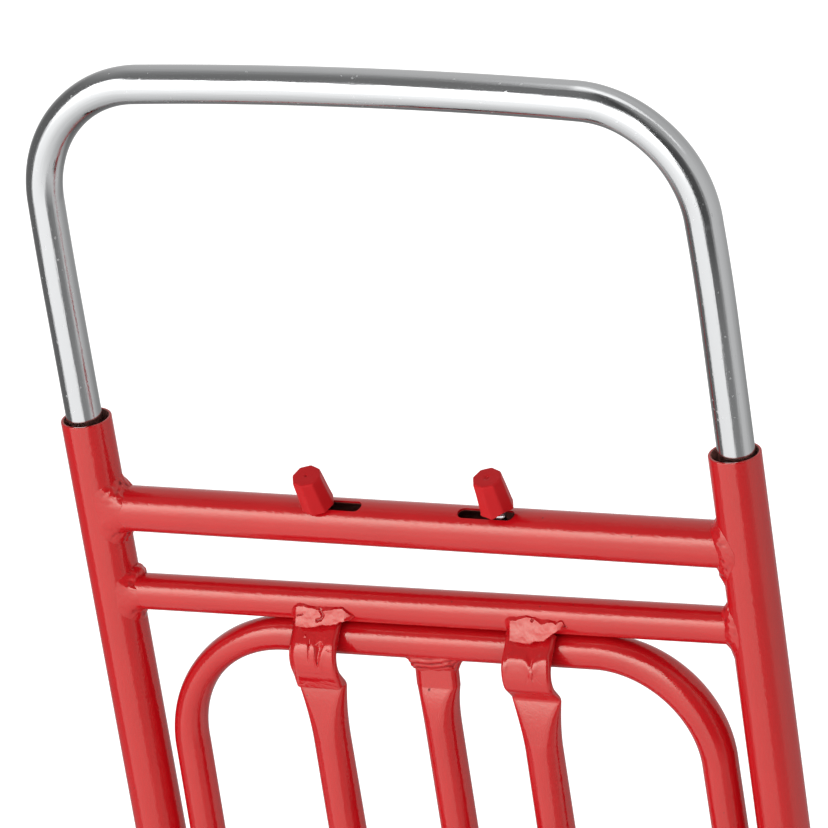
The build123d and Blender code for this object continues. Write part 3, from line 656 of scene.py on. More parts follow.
def weld_seams(name, paths, closed, radius, body, seed):
    """Weld beads along paths of points in mm, measured along Y from the plane of the rails."""
    points, edges = [], []
    for path in paths:
        first = len(points)
        points += [(x * mm, rail_y + y * mm, z * mm) for x, y, z in path]
        edges += [(k, k + 1) for k in range(first, len(points) - 1)]
        if closed:
            edges.append((len(points) - 1, first))
    mesh = bpy.data.meshes.new(name)
    mesh.from_pydata(points, edges, [])
    piece = new_object(name, mesh)
    grow(piece, weld_bead, {"Bead Radius": radius * mm, "Ripple Pitch": 2.2 * mm, "Lumpiness": 0.9, "Seed": seed})
    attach(piece, body)


tab_half, tab_top_y, tab_top_z = 12.4, -5.2, 28.0  # in mm, like all sizes of weld seams


def tab_seam(middle):
    """Up one edge of the pressed lower end, over its top and down the other, against the hinge crossbar."""
    rise = [(dz, hinge_bar_y - math.sqrt(hinge_bar_r ** 2 - dz ** 2) - 0.5) for dz in (-5, -3, -1, 1, 3, 5)]
    path = [(middle - tab_half, y, hinge_bar_z + dz) for dz, y in rise]
    path += [(middle + x, tab_top_y, tab_top_z) for x in (-10, -6, -2, 2, 6, 10)]
    return path + [(middle + tab_half, y, hinge_bar_z + dz) for dz, y in rise[::-1]]


weld_seams("back_bar_tab_welds", [tab_seam(x / mm) for x in back_x.values()], False, 1.5, "frame", 4.0)

# Handle: one tube bent to a U and chromium plated over nickel. The outer side of each bend is a little flattened.
# Both legs slide in the rails on plastic guides, and have holes for the lock pins.


def chrome_plate(name):
    """Bright chromium plate on drawn tube: a mirror with edges frayed by fine drawing marks along the tube, cloudy
    from handling, with dull flecks of a millimetre where the plate has pitted."""
    made, tree = start_material(name)
    lay = add_node(tree, "ShaderNodeAttribute", attribute_name="lay").outputs["Vector"]
    drawn, spotted = (add_node(tree, "ShaderNodeMapping", {"Vector": lay, "Scale": (1 / wide, 1 / wide, 1 / long)})
                      for wide, long in ((1.3 * mm, 30 * mm), (2.6 * mm, 3.4 * mm)))
    marks = add_node(tree, "ShaderNodeTexNoise", {"Vector": drawn, "Scale": 1.0, "Detail": 5.0, "Roughness": 0.65})
    pits = add_node(tree, "ShaderNodeTexVoronoi", {"Vector": spotted, "Scale": 1.0, "Randomness": 1.0})
    haze = mottle(tree, lay, 18 * mm, 5.0)
    pick = add_node(tree, "ShaderNodeSeparateColor", {0: pits.outputs["Color"]})
    some = calc(tree, "GREATER_THAN", pick, spread(tree, haze, 0.42, 0.62, 0.98, 0.62))
    fleck = calc(tree, "MULTIPLY", spread(tree, pits, 0.12, 0.26, 1.0, 0.0), some)
    soft = spread(tree, haze, 0.3, 0.7, 0.07, 0.13)
    bump = add_node(tree, "ShaderNodeBump", {"Height": marks, "Strength": 1.0, "Distance": 0.08 * mm})
    return show(made, add_node(tree, "ShaderNodeBsdfPrincipled", {
        "Base Color": blend(tree, fleck, "#BEBFC0", "#C2C3C4"), "Metallic": 1.0,
        "Roughness": spread(tree, fleck, 0.0, 1.0, soft, 0.5), "Normal": bump}))


chrome = chrome_plate("bright_chrome_plate")
leg_x = 170.15 * mm
handle_r = 8.85 * mm
handle_top = 635.9 * mm
crown_r = 2750 * mm
crown_x = -33 * mm
handle_bends = {1: 58 * mm, -1: 61 * mm}
bend_flat = {1: 0.4 * mm, -1: 0.5 * mm}
top_oval = (0.45 * mm, 0.15 * mm)
bend_swell = 0.5 * mm
leg_bow, leg_bow_length = {1: -1.2 * mm, -1: 0.6 * mm}, 50 * mm
leg_end = 56 * mm
leg_steps, bend_steps, top_steps = 60, 90, 80


def handle_stations():
    """Centre, outward direction and flattening outside and inside along the handle, from the right leg round."""
    arch_z = handle_top - crown_r
    found = []
    turns = {}
    for side in (1, -1):
        bend = handle_bends[side]
        bend_x = side * (leg_x - bend)
        reach = bend_x - crown_x
        bend_z = arch_z + math.sqrt((crown_r - bend) ** 2 - reach ** 2)
        turns[side] = (bend_x, bend_z, math.atan2(reach, bend_z - arch_z))
    for side in (1, -1):
        bend_x, bend_z, turn = turns[side]
        part = []
        for i in range(leg_steps):
            z = leg_end + (bend_z - leg_end) * (1 - (1 - i / leg_steps) ** 2)
            bow = leg_bow[side] * max(0.0, 1 - (bend_z - z) / leg_bow_length) ** 2
            part.append((Vector((side * leg_x + bow, rail_y, z)), Vector((side, 0, 0)), 0, 0))
        for i in range(bend_steps + 1):
            s = i / bend_steps
            a = side * math.pi / 2 * (1 - s) + turn * s
            out = Vector((math.sin(a), 0, math.cos(a)))
            press = math.sin(math.pi * s) if 0 < s < 1 else 0
            t = max(0.0, 2 * s - 1)
            middle = Vector((bend_x + leg_bow[side] * (1 - ease(t)), rail_y, bend_z))
            outer = press * bend_flat[side] - top_oval[0] * t * t
            part.append((middle + out * handle_bends[side], out, outer, -bend_swell * min(1.0, 4 * s)))
        if side == 1:
            found += part
            for i in range(1, top_steps):
                a = turn + (turns[-1][2] - turn) * i / top_steps
                out = Vector((math.sin(a), 0, math.cos(a)))
                ends = abs(2 * i / top_steps - 1) ** 4
                inner = top_oval[1] + (bend_swell - top_oval[1]) * ends
                found.append((Vector((crown_x, rail_y, arch_z)) + out * crown_r, out, -top_oval[0], -inner))
        else:
            found += part[::-1]
    return found


def round_rings(stations, radius, count):
    """Rings of a round tube that is pressed flatter outside and inside its bends."""
    rings = []
    for centre, out, outer, inner in stations:
        ring = []
        for a in once_round(count):
            r = radius - outer * max(0.0, math.cos(a)) ** 2 - inner * max(0.0, -math.cos(a)) ** 2
            r += (0.35 if outer > 0 else -1.0) * outer * math.sin(a) ** 2
            ring.append(centre + out * r * math.cos(a) + Vector((0, 1, 0)) * r * math.sin(a))
        rings.append(ring)
    return rings


def follow_tube(stations, radius, count):
    """For each point of a round tube its place round the tube and along it."""
    run, before, rows = 0.0, stations[0][0], []
    for centre, *_ in stations:
        run += (centre - before).length
        before = centre
        rows.append([(radius * math.cos(a), radius * math.sin(a), run) for a in once_round(count)])
    return rows


lock_hole_r, lock_hole_depth = 2.9 * mm, 5.0 * mm
lock_hole_heights = (lock_bar_z, 72.2 * mm)


def drill_lock_holes(tube):
    """Drill the holes that the lock pins enter, on the inner sides of both legs."""
    mesh = bpy.data.meshes.new("lock_hole_drill")
    drill = bmesh.new()
    for side in (1, -1):
        for height in lock_hole_heights:
            place = Matrix.Translation((side * (leg_x - handle_r), rail_y, height))
            bmesh.ops.create_cone(drill, cap_ends=True, segments=40, radius1=lock_hole_r, radius2=lock_hole_r,
                                  depth=2 * lock_hole_depth, matrix=place @ Matrix.Rotation(math.pi / 2, 4, "Y"))
    drill.to_mesh(mesh)
    drill.free()
    cutter = new_object("lock_hole_drill", mesh)
    cut = tube.modifiers.new("lock_holes", "BOOLEAN")
    cut.operation = "DIFFERENCE"
    cut.object = cutter
    settle(tube)
    bpy.data.objects.remove(cutter)


stations, round_points = handle_stations(), 96
handle = make_shape("chromed_handle", round_rings(stations, handle_r, round_points), chrome,
                    lay=follow_tube(stations, handle_r, round_points))
drill_lock_holes(handle)
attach(handle, "handle")
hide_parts("handle_tube")
dress(black_plastic, *both("leg_guide"))

# Locks: a bent steel rod on each side lies in the upper crossbar on two plastic guides. A spring drives its tip into
# the handle leg, and its finger stands out of the slot with a moulded cap pushed on.


def drawn_steel(name):
    """Zinc-plated steel, drawn and cut: a bright grey metal with fine marks and a soft sheen."""
    made, tree = start_material(name)
    haze = mottle(tree, add_node(tree, "ShaderNodeTexCoord").outputs["Object"], 4 * mm, 5.0)
    return show(made, add_node(tree, "ShaderNodeBsdfPrincipled", {
        "Base Color": linear("#C3C4C6"), "Metallic": 1.0, "Roughness": spread(tree, haze, 0.3, 0.7, 0.22, 0.4)}))


steel = drawn_steel("drawn_zinc_plated_steel")
dress(steel, *both("lock_rod", "lock_spring", "spring_collar"))
dress(black_plastic, *both("inner_rod_guide", "outer_rod_guide"))
cap_plastic = moulded_plastic("moulded_red_abs", "#AB161A", "#B81A1E", 0.4, 0.9 * mm, 0.16)
finger_x = 47.2 * mm
cap_leans = {"left": 22.5, "right": 18.5}
cap_seats = {"left": 12.0 * mm, "right": 15.4 * mm}
cap_shifts = {"left": -0.5 * mm, "right": -0.3 * mm}
cap_length, drawn_length = 19.6 * mm, 19
cap_bases = {"left": 8.3 * mm, "right": 8.5 * mm}
cap_top = 7.4 * mm
cap_points, corner_power, top_share = 96, 46, 0.94
cap_wave, foot_chip = 0.12 * mm, 2.4 * mm


def eight_sided(radius, turn, round_power):
    """Radius of an octagon with softened corners at an angle."""
    flat = radius * math.cos(math.pi / 8)
    reach = sum(max(0.0, math.cos(turn - math.radians(22.5 + 45 * i))) ** round_power for i in range(8))
    return flat / reach ** (1 / round_power)


def cap_frame(side):
    """Where the finger leaves the axis of the crossbar, the way up it and the way forward from it."""
    lean = math.radians(cap_leans[side])
    up = Vector((0, -math.sin(lean), math.cos(lean)))
    root = Vector((-finger_x if side == "left" else finger_x, rail_y, lock_bar_z))
    return root, up, up.cross(Vector((1, 0, 0)))


def button_cap(side, seed):
    """Moulded cap with soft edges, a worn ridge of flash round its foot and the mark of its gate on top."""
    root, up, deep = cap_frame(side)
    across = Vector((1, 0, 0))
    foot = root + across * cap_shifts[side] + up * cap_seats[side]
    cap_base = cap_bases[side]
    heights = [(0.0, 0.34, 0), (0.0, 0.93, 0), (0.15, 1.0, 0.35), (0.5, 1.005, 0.45), (1.0, 1.0, 0.15), (1.6, 1.0, 0)]
    heights += [(1.6 + 16.2 * k / 24, 1.0, 0) for k in range(1, 25)]
    heights += [(18.2, 0.993, 0), (18.55, 0.975, 0), (18.8, 0.945, 0), (18.95, 0.90, 0), (19.0, 0.84, 0),
                (18.97, 0.6, -1), (18.93, 0.35, -1), (18.9, 0.16, -1)]
    gate = [(18.85, 0.125, -1), (18.45, 0.105, -1), (18.3, 0.06, -1)]
    if side == "right":
        gate = [(18.7, 0.14, -1), (18.5, 0.1, -1), (18.75, 0.07, -1), (18.95, 0.04, -1)]
    rings = []
    for height, share, flash in heights + gate:
        z = cap_length * height / drawn_length
        size = cap_base + (cap_top - cap_base) * z / cap_length
        ring = []
        for turn in once_round(cap_points):
            r = share * (eight_sided(size, turn, corner_power) if flash >= 0 else size * top_share)
            if flash > 0:
                r += flash * mm * max(0.0, noise.noise(Vector((2.2 * math.cos(turn), 2.2 * math.sin(turn), seed))))
            wave = noise.noise(Vector((math.cos(turn), math.sin(turn), seed + height / 7)))
            r += cap_wave * wave * min(1.0, share * 1.2) * (flash >= 0)
            chip = foot_chip * max(0.0, math.cos(turn + math.pi / 4)) ** 8 if side == "right" else 0.0
            lift = max(z, chip * min(1.0, share)) if height < 3 else z
            ring.append(foot + up * lift + across * r * math.cos(turn) + deep * r * math.sin(turn))
        rings.append(ring)
    piece = make_piece(side + "_moulded_cap", rings, side + "_lock", cap_plastic)
    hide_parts(side + "_button_cap")


button_cap("left", 1.7)
button_cap("right", 5.2)
stop_shift, stop_rise, stop_depth = 0.8 * mm, 12.3 * mm, 2.6 * mm
stop_half_length, stop_r = 3.0 * mm, 1.1 * mm
stop_rings, stop_points = 16, 24


def pinched_stop(side):
    """The flattened spot on the finger that keeps the cap from sliding down."""
    root, up, deep = cap_frame(side)
    middle = root + Vector((stop_shift, 0, 0)) + up * stop_rise - deep * stop_depth
    rings = []
    for i in range(1, stop_rings):
        across = -math.cos(math.pi * i / stop_rings)
        centre = middle + Vector((stop_half_length * across, 0, 0))
        r = stop_r * math.sqrt(1 - across * across)
        rings.append([centre + deep * r * math.cos(a) + up * r * math.sin(a) for a in once_round(stop_points)])
    make_piece(side + "_finger_stop", rings, side + "_lock", steel)


pinched_stop("left")
pinched_stop("right")

# Toe: one tube bent to a loop, oval in its bends, with a centre bar whose upper end is pressed and welded under it.
# Both are welded at the bottom to short sleeves that turn on the hinge crossbar.
loop_corners = (140.5 * mm, -141.0 * mm)
sleeve_x, sleeve_r, sleeve_sink = 144.75 * mm, 11.5 * mm, 0.8 * mm
hinge_y, hinge_z = rail_y + hinge_bar_y * mm, hinge_bar_z * mm
loop_bends = [55.0 * mm, 65.0 * mm]
loop_flat = [(-0.8 * mm, -0.6 * mm), (1.7 * mm, 1.4 * mm)]
dress(enamel, "centre_hinge_sleeve", *both("hinge_sleeve"))


def toe_loop():
    """The loop from the right sleeve round to the left one, its ends shaped to the sleeves."""
    corners = [Vector((sleeve_x, rail_y, hinge_z))]
    corners += [Vector((x, rail_y, loop_z + x * slope)) for x in loop_corners]
    corners.append(Vector((-sleeve_x, rail_y, hinge_z)))
    stations = []
    for centre, along, share in bent_path(corners, loop_bends, 6 * mm, 1 * mm):
        press = math.sin(math.pi * share) if share else 0.0
        outer, inner = loop_flat[0 if centre.x > 0 else 1]
        stations.append((centre, Vector((0, 1, 0)).cross(along), press * outer, press * inner))
    near = [i for i, station in enumerate(stations) if station[0].z > hinge_z + sleeve_r + 2 * mm]
    rings = round_rings(stations, loop_r, 72)[near[0]:near[-1] + 1]

    def shaped_end(ring):
        found = []
        for p in ring:
            square = (sleeve_r - sleeve_sink) ** 2 - (p.y - hinge_y) ** 2
            found.append(Vector((p.x, p.y, hinge_z + math.sqrt(max(0.0, square)))))
        return found

    rings = [shaped_end(rings[0])] + rings + [shaped_end(rings[-1])]
    piece = make_piece("toe_loop_tube", rings, "toe", enamel)
    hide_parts("toe_loop")


toe_loop()
centre_x = -1.2 * mm
centre_d, centre_round_d = 17.5 * mm, 18.1 * mm
centre_lean = 0.6 * mm
centre_flat = 8.0 * mm
centre_flat_length = 14.5 * mm
flat_lean = 0.1
centre_taper, centre_points = 25.0 * mm, 144
pinhole = (-3.0, -1.0, 0.5, 0.5)


def centre_bar():
    """The centre bar, pressed at the top, with a pinhole in the paint of its face."""
    flat_end = loop_z - loop_r - centre_flat_length
    round_start = flat_end - centre_taper
    low = hinge_z + sleeve_r - 1.0 * mm
    heights = [loop_z - 3 * mm - 0.5 * mm * k for k in range(1, 44)]
    heights = [h for h in heights if h > flat_end]
    heights += [flat_end] + steps_to(flat_end, round_start, 48) + steps_to(round_start, low, 24)
    rings, painted_shade = [], []
    for h in heights:
        press = (1 - clamp((flat_end - h) / centre_taper)) ** 2.6
        ring, pits = [], []
        for k in range(centre_points):
            girth = centre_round_d + (centre_d - centre_round_d) * press
            x, y = pressed_point(girth, girth + (centre_flat - girth) * press, k / centre_points)
            mark = pit = 0.0
            if y > 0:
                pit = dent(x / mm, (h - flat_end) / mm, *pinhole)
                mark = 0.05 * pit + 0.06 * press * max(0.0, -4.5 - x / mm) ** 2 * min(1.0, y / (centre_flat / 2))
            back = flat_lean * max(0.0, h - flat_end)
            ring.append(Vector((centre_x + x - centre_lean * (1 - press), rail_y - y + mark * mm + back, h)))
            # Painted shade in the pinhole, on top of its dent.
            pits.append(min(1.0, 2.2 * pit))
        rings.append(ring)
        painted_shade.append(pits)
    piece = make_piece("toe_centre_tube", rings, "toe", weld_enamel, painted_shade=painted_shade)
    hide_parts("toe_centre_bar")


centre_bar()
web_tips = (8.6 * mm, 8.2 * mm)
web_starts = (1.1 * mm, 0.0)
web_powers = (5, 3)


def smooth_through(points, count):
    """Points along a smooth line through given points."""
    found = []
    spans = len(points) - 1
    for i in range(count + 1):
        t = spans * i / count
        k = min(int(t), spans - 1)
        t -= k
        a, b, c, d = (points[min(max(j, 0), spans)] for j in (k - 1, k, k + 1, k + 2))
        found.append(0.5 * (2 * b + (c - a) * t + (2 * a - 5 * b + 4 * c - d) * t * t
                            + (3 * b - a - 3 * c + d) * t ** 3))
    return found


def centre_weld():
    """Weld under the loop round the pressed end of the centre bar: ridges one under the other, with a web of
    weld metal at each side."""
    rings, painted_shade = [], []
    half_width = math.pi * (centre_d - centre_flat) / 4 + centre_flat / 2
    columns, rows = 150, 34
    for i in range(columns + 1):
        local = -half_width - web_tips[0] + (2 * half_width + sum(web_tips)) * i / columns
        x = centre_x + local
        loop = Vector((x, rail_y, loop_z + x * slope))
        inside = half_width - abs(local)
        side = int(local > 0)
        beyond = clamp((web_starts[side] - inside) / (web_tips[side] + web_starts[side]))
        sway = noise.noise(Vector((local / (4 * mm), 3.3, 0)))
        flank = max(0.0, 1 - max(0.0, inside) / (2.5 * mm)) ** 2
        drop = (5.2 + 1.0 * sway + 2.4 * flank) * (1 - beyond) ** web_powers[side] * mm
        edge_r = centre_flat / 2
        depth = math.sqrt(edge_r ** 2 - (edge_r - min(edge_r, max(0.0, inside))) ** 2)
        depth = max(depth, 0.8 * mm * (1 - beyond)) + 0.15 * mm
        half_ring, half_shade = [], []
        low = Vector((x, rail_y - depth, loop.z - loop_r + 0.3 * mm - drop))
        high = around_bar(loop, loop_r - 0.15 * mm, math.radians(127 + 6 * sway + 40 * beyond))
        waist = high.lerp(low, 0.5) + Vector((0, -0.9 * depth / edge_r * (1 - beyond) * mm, 0))
        for k, p in enumerate(smooth_through([high, waist, low], rows)):
            q = k / rows
            bell = math.sin(math.pi * q) * (1 - beyond)
            slant = 0.09 * max(0.0, local / mm - 2)
            ridge = math.cos(2 * math.pi * (3.1 * q + 0.4 * sway + slant))
            lump = noise.noise(Vector((local / (3 * mm), q * 4, 7.7)))
            half_ring.append(p + Vector((0, -0.8, -0.2)) * bell * (0.42 * ridge + 0.5 * lump) * mm)
            # Painted shade in the grooves between the ridges.
            half_shade.append(clamp(-0.7 * ridge - 0.1 - 0.4 * lump) * bell)
        back = [Vector((p.x, 2 * rail_y - p.y, p.z)) for p in half_ring]
        rings.append(half_ring + back[::-1])
        painted_shade.append(half_shade + half_shade[::-1])
    make_piece("toe_centre_weld", rings, "toe", weld_enamel, painted_shade=painted_shade)


centre_weld()
loop_seam_r, centre_seam_r = 9.1, 9.4


def sleeve_seam(middle, tube_r):
    """Round the foot of a tube where it stands on its hinge sleeve."""
    path = []
    for a in once_round(36):
        y = tube_r * math.sin(a)
        z = math.sqrt(max(4.0, (sleeve_r / mm) ** 2 - (y - hinge_bar_y) ** 2))
        path.append((middle + tube_r * math.cos(a), y, hinge_bar_z + z))
    return path


weld_seams("hinge_sleeve_welds", [
    sleeve_seam(sleeve_x / mm, loop_seam_r), sleeve_seam(-sleeve_x / mm, loop_seam_r),
    sleeve_seam((centre_x - centre_lean) / mm, centre_seam_r)], True, 1.5, "toe", 11.0)

# Wheels: moulded hubs with solid rubber tyres on a steel axle, in plates welded to the rails. Ribs stiffen the web of
# each hub, and the mould has left short bars on the shoulders of the tyre.
rubber = moulded_plastic("black_rubber", "#191919", "#242423", 0.72, 1.2 * mm)
nylon = moulded_plastic("natural_nylon", "#D8D3C4", "#E2DECF", 0.45, 0.8 * mm)
dress(enamel, "axle_tube", *both("wheel_bracket"))
dress(steel, "axle", *both("wheel_washer"))
dress(black_plastic, *both("wheel_spacer", "wheel_hub", "axle_cap"))
dress(rubber, *both("tyre"))
dress(nylon, *both("hub_bush"))
axle_y, axle_z, axle_seam_r = -62.0, 75.0, 9.4
bracket_x, bracket_half = 169.25, 2.0
bracket_edges = (-bracket_half - 0.5, bracket_half + 0.5)
bracket_seam_y, bracket_seam_heights = -12.8, range(42, 128, 6)
weld_seams("wheel_bracket_welds", [
    [(x + edge, bracket_seam_y, z) for z in bracket_seam_heights] for x in (-bracket_x, bracket_x)
    for edge in bracket_edges], False, 1.7, "frame", 21.0)
weld_seams("axle_tube_welds", [
    [(side * (bracket_x - bracket_half - 0.4), axle_y + axle_seam_r * math.cos(a), axle_z + axle_seam_r * math.sin(a))
     for a in once_round(40)] for side in (-1, 1)], True, 1.5, "frame", 27.0)


def wheel_nodes():
    """Nodes that repeat a shape round an axle that lies along X."""
    tree, given = start_nodes("round_the_axle", {"Count": "Int", "Start": "Float", "Finish": "Material"})
    spots = add_node(tree, "GeometryNodePoints", {"Count": given["Count"]})
    share = calc(tree, "DIVIDE", add_node(tree, "GeometryNodeInputIndex"), given["Count"])
    turn = calc(tree, "MULTIPLY_ADD", share, 2 * math.pi, given["Start"])
    copies = add_node(tree, "GeometryNodeInstanceOnPoints", {
        "Points": spots, "Instance": given["Geometry"], "Rotation": add_node(tree, "ShaderNodeCombineXYZ", {0: turn})})
    solid = add_node(tree, "GeometryNodeRealizeInstances", {"Geometry": copies})
    solid = add_node(tree, "GeometryNodeSetMaterial", {"Geometry": solid, "Material": given["Finish"]})
    add_node(tree, "NodeGroupOutput", {"Geometry": solid})
    return tree


round_the_axle = wheel_nodes()
wheel_x = 206.35 * mm


def ribs_round_wheel(name, side, count, start, material, shells):
    """Closed ribs, given as rows of rings at the top of the wheel, repeated round it."""
    points, faces = [], []
    for rings in shells:
        first, rows, size = len(points), len(rings), len(rings[0])
        points += [p for ring in rings for p in ring]
        last = first + (rows - 1) * size
        faces += ring_faces(first, rows, size)
        faces += [tuple(range(first, first + size)), tuple(range(last, last + size))]
    mesh = bpy.data.meshes.new(name)
    mesh.from_pydata(points, [], faces)
    turn_out(mesh)
    piece = new_object(name, mesh)
    grow(piece, round_the_axle, {"Count": count, "Start": start, "Finish": material})
    piece.data.transform(Matrix.Translation((side * wheel_x, rail_y + axle_y * mm, axle_z * mm)))
    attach(piece, "left_wheel" if side < 0 else "right_wheel")


shoulder_x, shoulder_z, shoulder_r = 5, 64, 11
bar_foot, bar_foot_r, bar_crown = 1.5, 10.5, 0.9
web_half, rib_foot, rib_edge, rib_crown = 2.5, 1.7, 1.1, 0.7


def shoulder_bars():
    """One short bar on each shoulder of the tyre, bent over the shoulder's round."""
    shells = []
    for way in (-1, 1):
        rings = []
        for angle, rise in ((8, 0.0), (18, 0.7), (32, 0.8), (46, 0.8), (58, 0.7), (68, 0.0)):
            a = math.radians(angle)
            high = shoulder_r + rise
            rings.append([
                (mm * way * (shoulder_x + reach * math.cos(a)), mm * wide, mm * (shoulder_z + reach * math.sin(a)))
                for wide, reach in (
                    (-bar_foot, bar_foot_r), (-bar_crown, high), (bar_crown, high), (bar_foot, bar_foot_r))])
        shells.append(rings)
    return shells


def web_ribs():
    """One rib on each face of the hub's web, from the boss to the rim, thinner at its open edge."""
    shells = []
    for way in (-1, 1):
        rings = []
        for r, high in ((15, 15), (17.5, 14.2), (23, 10.5), (32, 9), (41, 10), (46.5, 12.6), (49, 13)):
            rings.append([(mm * way * x, mm * y, mm * r) for x, y in (
                (web_half, -rib_foot), (high - 0.5, -rib_edge), (high, -rib_crown), (high, rib_crown),
                (high - 0.5, rib_edge), (web_half, rib_foot))])
        shells.append(rings)
    return shells


for side, name in ((-1, "left"), (1, "right")):
    ribs_round_wheel(name + "_tyre_bars", side, 60, 0.0, rubber, shoulder_bars())
    ribs_round_wheel(name + "_hub_ribs", side, 6, math.radians(30), black_plastic, web_ribs())

# Feet: bent steel ledges welded to the rails, on rubber pads. The trolley stands on them and on its wheels, and the
# lowered toe lies on them.
dress(enamel, *both("foot_bracket"))
dress(rubber, *both("foot_pad"))
foot_seam_x, foot_seam_y, foot_seam_heights = 8.2, 11.0, range(16, 55, 4)
weld_seams("foot_bracket_welds", [
    [(x + edge, foot_seam_y, z) for z in foot_seam_heights] for x in (-bracket_x, bracket_x)
    for edge in (-foot_seam_x, foot_seam_x)], False, 1.9, "frame", 33.0)

# Studio: a pale floor under a white world, with a surround of soft grey cards that only gloss and metal show:
# a bright panel to the left of the camera, the dark photographer, a wedge of light overhead, a dim ceiling and a
# paler far side. Soft lamps light the paint.
object_middle = Vector((0, rail_y, 0.5))
to_camera = Vector((0.4654, -0.8851, 0))
to_left = Vector((-0.8851, -0.4654, 0))
floor_half = 60.0
floor_mesh = bpy.data.meshes.new("studio_floor")
floor_mesh.from_pydata([(-floor_half, -floor_half, 0), (floor_half, -floor_half, 0), (floor_half, floor_half, 0),
                        (-floor_half, floor_half, 0)], [], [(0, 1, 2, 3)])
floor = new_object("studio_floor", floor_mesh)


def white_paper(name):
    """Matt white paper: white to the camera apart from the shadow on it. Gloss and metal show the surround instead."""
    made, tree = start_material(name)
    rays = add_node(tree, "ShaderNodeLightPath").outputs
    matt = add_node(tree, "ShaderNodeBsdfDiffuse", {"Color": linear("#F2F2F2")})
    glow = add_node(tree, "ShaderNodeEmission", {"Color": linear("#FFFFFF"), "Strength": 0.5})
    bright = add_node(tree, "ShaderNodeAddShader", {0: matt, 1: glow})
    seen = add_node(tree, "ShaderNodeMixShader", {0: rays["Is Camera Ray"], 1: matt, 2: bright})
    clear = add_node(tree, "ShaderNodeBsdfTransparent")
    return show(made, add_node(tree, "ShaderNodeMixShader", {0: rays["Is Glossy Ray"], 1: seen, 2: clear}))


floor_mesh.materials.append(white_paper("matt_white_paper"))
surround_mesh = bpy.data.meshes.new("studio_surround")
dome = bmesh.new()
bmesh.ops.create_uvsphere(dome, u_segments=48, v_segments=24, radius=2.4)
dome.to_mesh(surround_mesh)
dome.free()
surround = new_object("studio_surround", surround_mesh)
surround.location = object_middle
surround.visible_camera = surround.visible_diffuse = surround.visible_shadow = False
surround.visible_transmission = surround.visible_volume_scatter = False


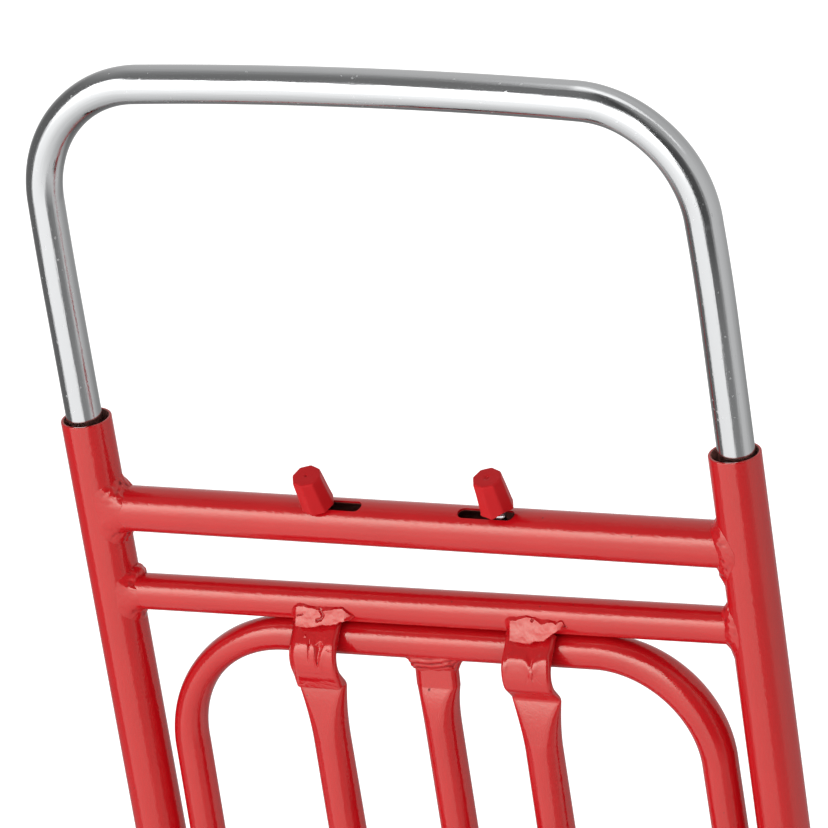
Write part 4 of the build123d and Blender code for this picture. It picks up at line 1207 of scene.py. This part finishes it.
def grey_cards(name):
    """Grey cards: brightness by direction, first round the horizon and then from floor to ceiling. Headings count
    from the camera to its left, climbs from the horizon upward."""
    made, tree = start_material(name)
    way = add_node(tree, "ShaderNodeVectorMath", {0: add_node(tree, "ShaderNodeTexCoord").outputs["Object"]},
                   operation="NORMALIZE")
    ahead, aside = (add_node(tree, "ShaderNodeVectorMath", {0: way, 1: toward}, operation="DOT_PRODUCT")
                    .outputs["Value"] for toward in (to_camera, to_left))
    right, far, up = add_node(tree, "ShaderNodeSeparateXYZ", {0: way}).outputs
    heading = calc(tree, "ARCTAN2", aside, ahead)
    climb = calc(tree, "ARCSINE", up)
    most = 8

    def by_angle(angle, end, stops):
        """Brightness along an angle from minus to plus the end, held in a ramp as a share of the most."""
        ramp = add_node(tree, "ShaderNodeValToRGB", {
            0: spread(tree, angle, math.radians(-end), math.radians(end), 0.0, 1.0)})
        elements = ramp.color_ramp.elements
        while len(elements) < len(stops):
            elements.new(0.5)
        for element, (place, level) in zip(elements, stops):
            element.position = (place + end) / (2 * end)
            element.color = (level / most, level / most, level / most, 1)
        return calc(tree, "MULTIPLY", ramp, most)

    def by_heading(*stops):
        return by_angle(heading, 180, stops)

    def by_climb(*stops):
        return by_angle(climb, 90, stops)

    def turn_into(share, first, second):
        return add_node(tree, "ShaderNodeMix", {"Factor": share, "A": first, "B": second}, data_type="FLOAT")

    below_waist = by_heading(
        (-180, 0.5), (-150, 0.35), (-116, 0.45), (-96, 0.6), (-72, 0.85), (-50, 0.87), (-40, 0.5), (-30, 0.42),
        (8, 0.4), (90, 0.21), (132, 0.2), (160, 0.45), (180, 0.6))
    photographer = by_heading(
        (-180, 0.75), (-150, 0.6), (-116, 0.65), (-96, 0.74), (-65, 0.87), (-48, 0.88), (-40, 0.4), (-30, 0.12),
        (8, 0.1), (90, 0.2), (132, 0.2), (150, 0.35), (165, 0.6), (180, 0.75))
    ceiling = by_heading(
        (-180, 0.8), (-126, 0.75), (-80, 0.72), (-48, 0.6), (-25, 0.25), (-8, 0.1), (8, 0.1), (40, 0.26), (63, 0.28),
        (90, 0.27), (118, 0.36), (140, 0.48), (155, 0.66), (180, 0.8))
    room = turn_into(by_climb((-90, 0.0), (-24.5, 0.0), (-16, 1.0), (90, 1.0)), below_waist, photographer)
    room = turn_into(by_climb((-90, 0.0), (25, 0.0), (45, 1.0), (90, 1.0)), room, ceiling)
    floor_level = by_climb((-90, 0.45), (-66, 0.7), (-44, 0.95), (90, 0.95))
    floor_sides = by_heading(
        (-180, 0.3), (-130, 0.35), (-95, 0.9), (0, 1.0), (100, 1.0), (125, 0.8), (145, 0.3), (180, 0.3))
    near_floor = by_climb((-90, 1.0), (-44, 1.0), (-27, 0.0), (90, 0.0))
    room = turn_into(near_floor, room, calc(tree, "MULTIPLY", floor_level, floor_sides))
    panel_sides = by_heading((-180, 0.0), (2, 0.0), (6, 1.0), (84, 1.0), (88, 0.0), (180, 0.0))
    panel_level = by_climb(
        (-90, 0.55), (-75, 0.7), (-57, 0.9), (-36, 1.2), (-22, 1.55), (-6, 1.8), (4, 2.6), (14, 4.1), (23, 5.6),
        (30, 6.5), (90, 6.5))
    panel_edge = by_climb((-90, 0.0), (-75, 0.0), (-50, 1.0), (31, 1.0), (42, 0.0), (90, 0.0))
    room = turn_into(calc(tree, "MULTIPLY", panel_sides, panel_edge), room, panel_level)
    off_wedge = calc(tree, "ABSOLUTE", calc(tree, "SUBTRACT", far, 0.13))
    off_wedge = calc(tree, "DIVIDE", off_wedge, spread(tree, right, -0.15, 0.55, 0.26, 0.06))
    wedge = spread(tree, off_wedge, 0.6, 1.1, 1.1, 0.0)
    above = by_climb((-90, 0.0), (26, 0.0), (36, 1.0), (90, 1.0))
    above = calc(tree, "MULTIPLY", above, spread(tree, right, -0.32, -0.2, 0.0, 1.0))
    room = calc(tree, "MULTIPLY_ADD", wedge, above, room)
    made.cycles.emission_sampling = "NONE"
    return show(made, add_node(tree, "ShaderNodeEmission", {"Color": linear("#FFFFFF"), "Strength": room}))


surround_mesh.materials.append(grey_cards("grey_cards"))
world = bpy.data.worlds.new("white_studio")
bpy.context.scene.world = world
world.use_nodes = True
world.node_tree.nodes.clear()
rays = add_node(world.node_tree, "ShaderNodeLightPath").outputs
shown = calc(world.node_tree, "MAXIMUM", rays["Is Camera Ray"], rays["Is Glossy Ray"])
shown = calc(world.node_tree, "MAXIMUM", shown, rays["Is Transmission Ray"])
white = spread(world.node_tree, shown, 0.0, 1.0, 0.64, 1.0)
sky = add_node(world.node_tree, "ShaderNodeBackground", {"Color": linear("#FFFFFF"), "Strength": white})
add_node(world.node_tree, "ShaderNodeOutputWorld", {0: sky})

lamp_aim = Vector((0, 0.04, 0.35))
for name, place, size, watts in (
        ("key_lamp", (-1.2, -1.9, 0.9), 1.6, 24), ("low_lamp", (0.0, -0.9, 0.1), 0.8, 4.6),
        ("fill_lamp", (2.0, -1.4, 1.4), 1.6, 4), ("far_lamp", (0.8, 2.4, 2.0), 1.8, 20)):
    lamp = bpy.data.lights.new(name, "AREA")
    lamp.shape = "DISK"
    lamp.size = size
    lamp.energy = watts
    holder = new_object(name, lamp)
    holder.location = place
    holder.rotation_euler = (lamp_aim - Vector(place)).to_track_quat("-Z", "Y").to_euler()
    holder.visible_camera = holder.visible_glossy = False

# Camera: where the photograph was taken from, with its long lens. Its place was fitted to the edges of the rails,
# crossbars and handle.
lens = bpy.data.cameras.new("photo_camera")
lens.sensor_width = 36.0
lens.lens = 238.47
lens.clip_end = 200.0
camera = new_object("photo_camera", lens)
camera.matrix_world = Matrix((
    (0.9031, -0.0468, 0.4268, 1.1082),
    (0.4054, 0.4205, -0.8117, -2.0491),
    (-0.1415, 0.9061, 0.3987, 1.4984),
    (0, 0, 0, 1)))
bpy.context.scene.camera = camera
bpy.context.scene.view_settings.view_transform = "Standard"
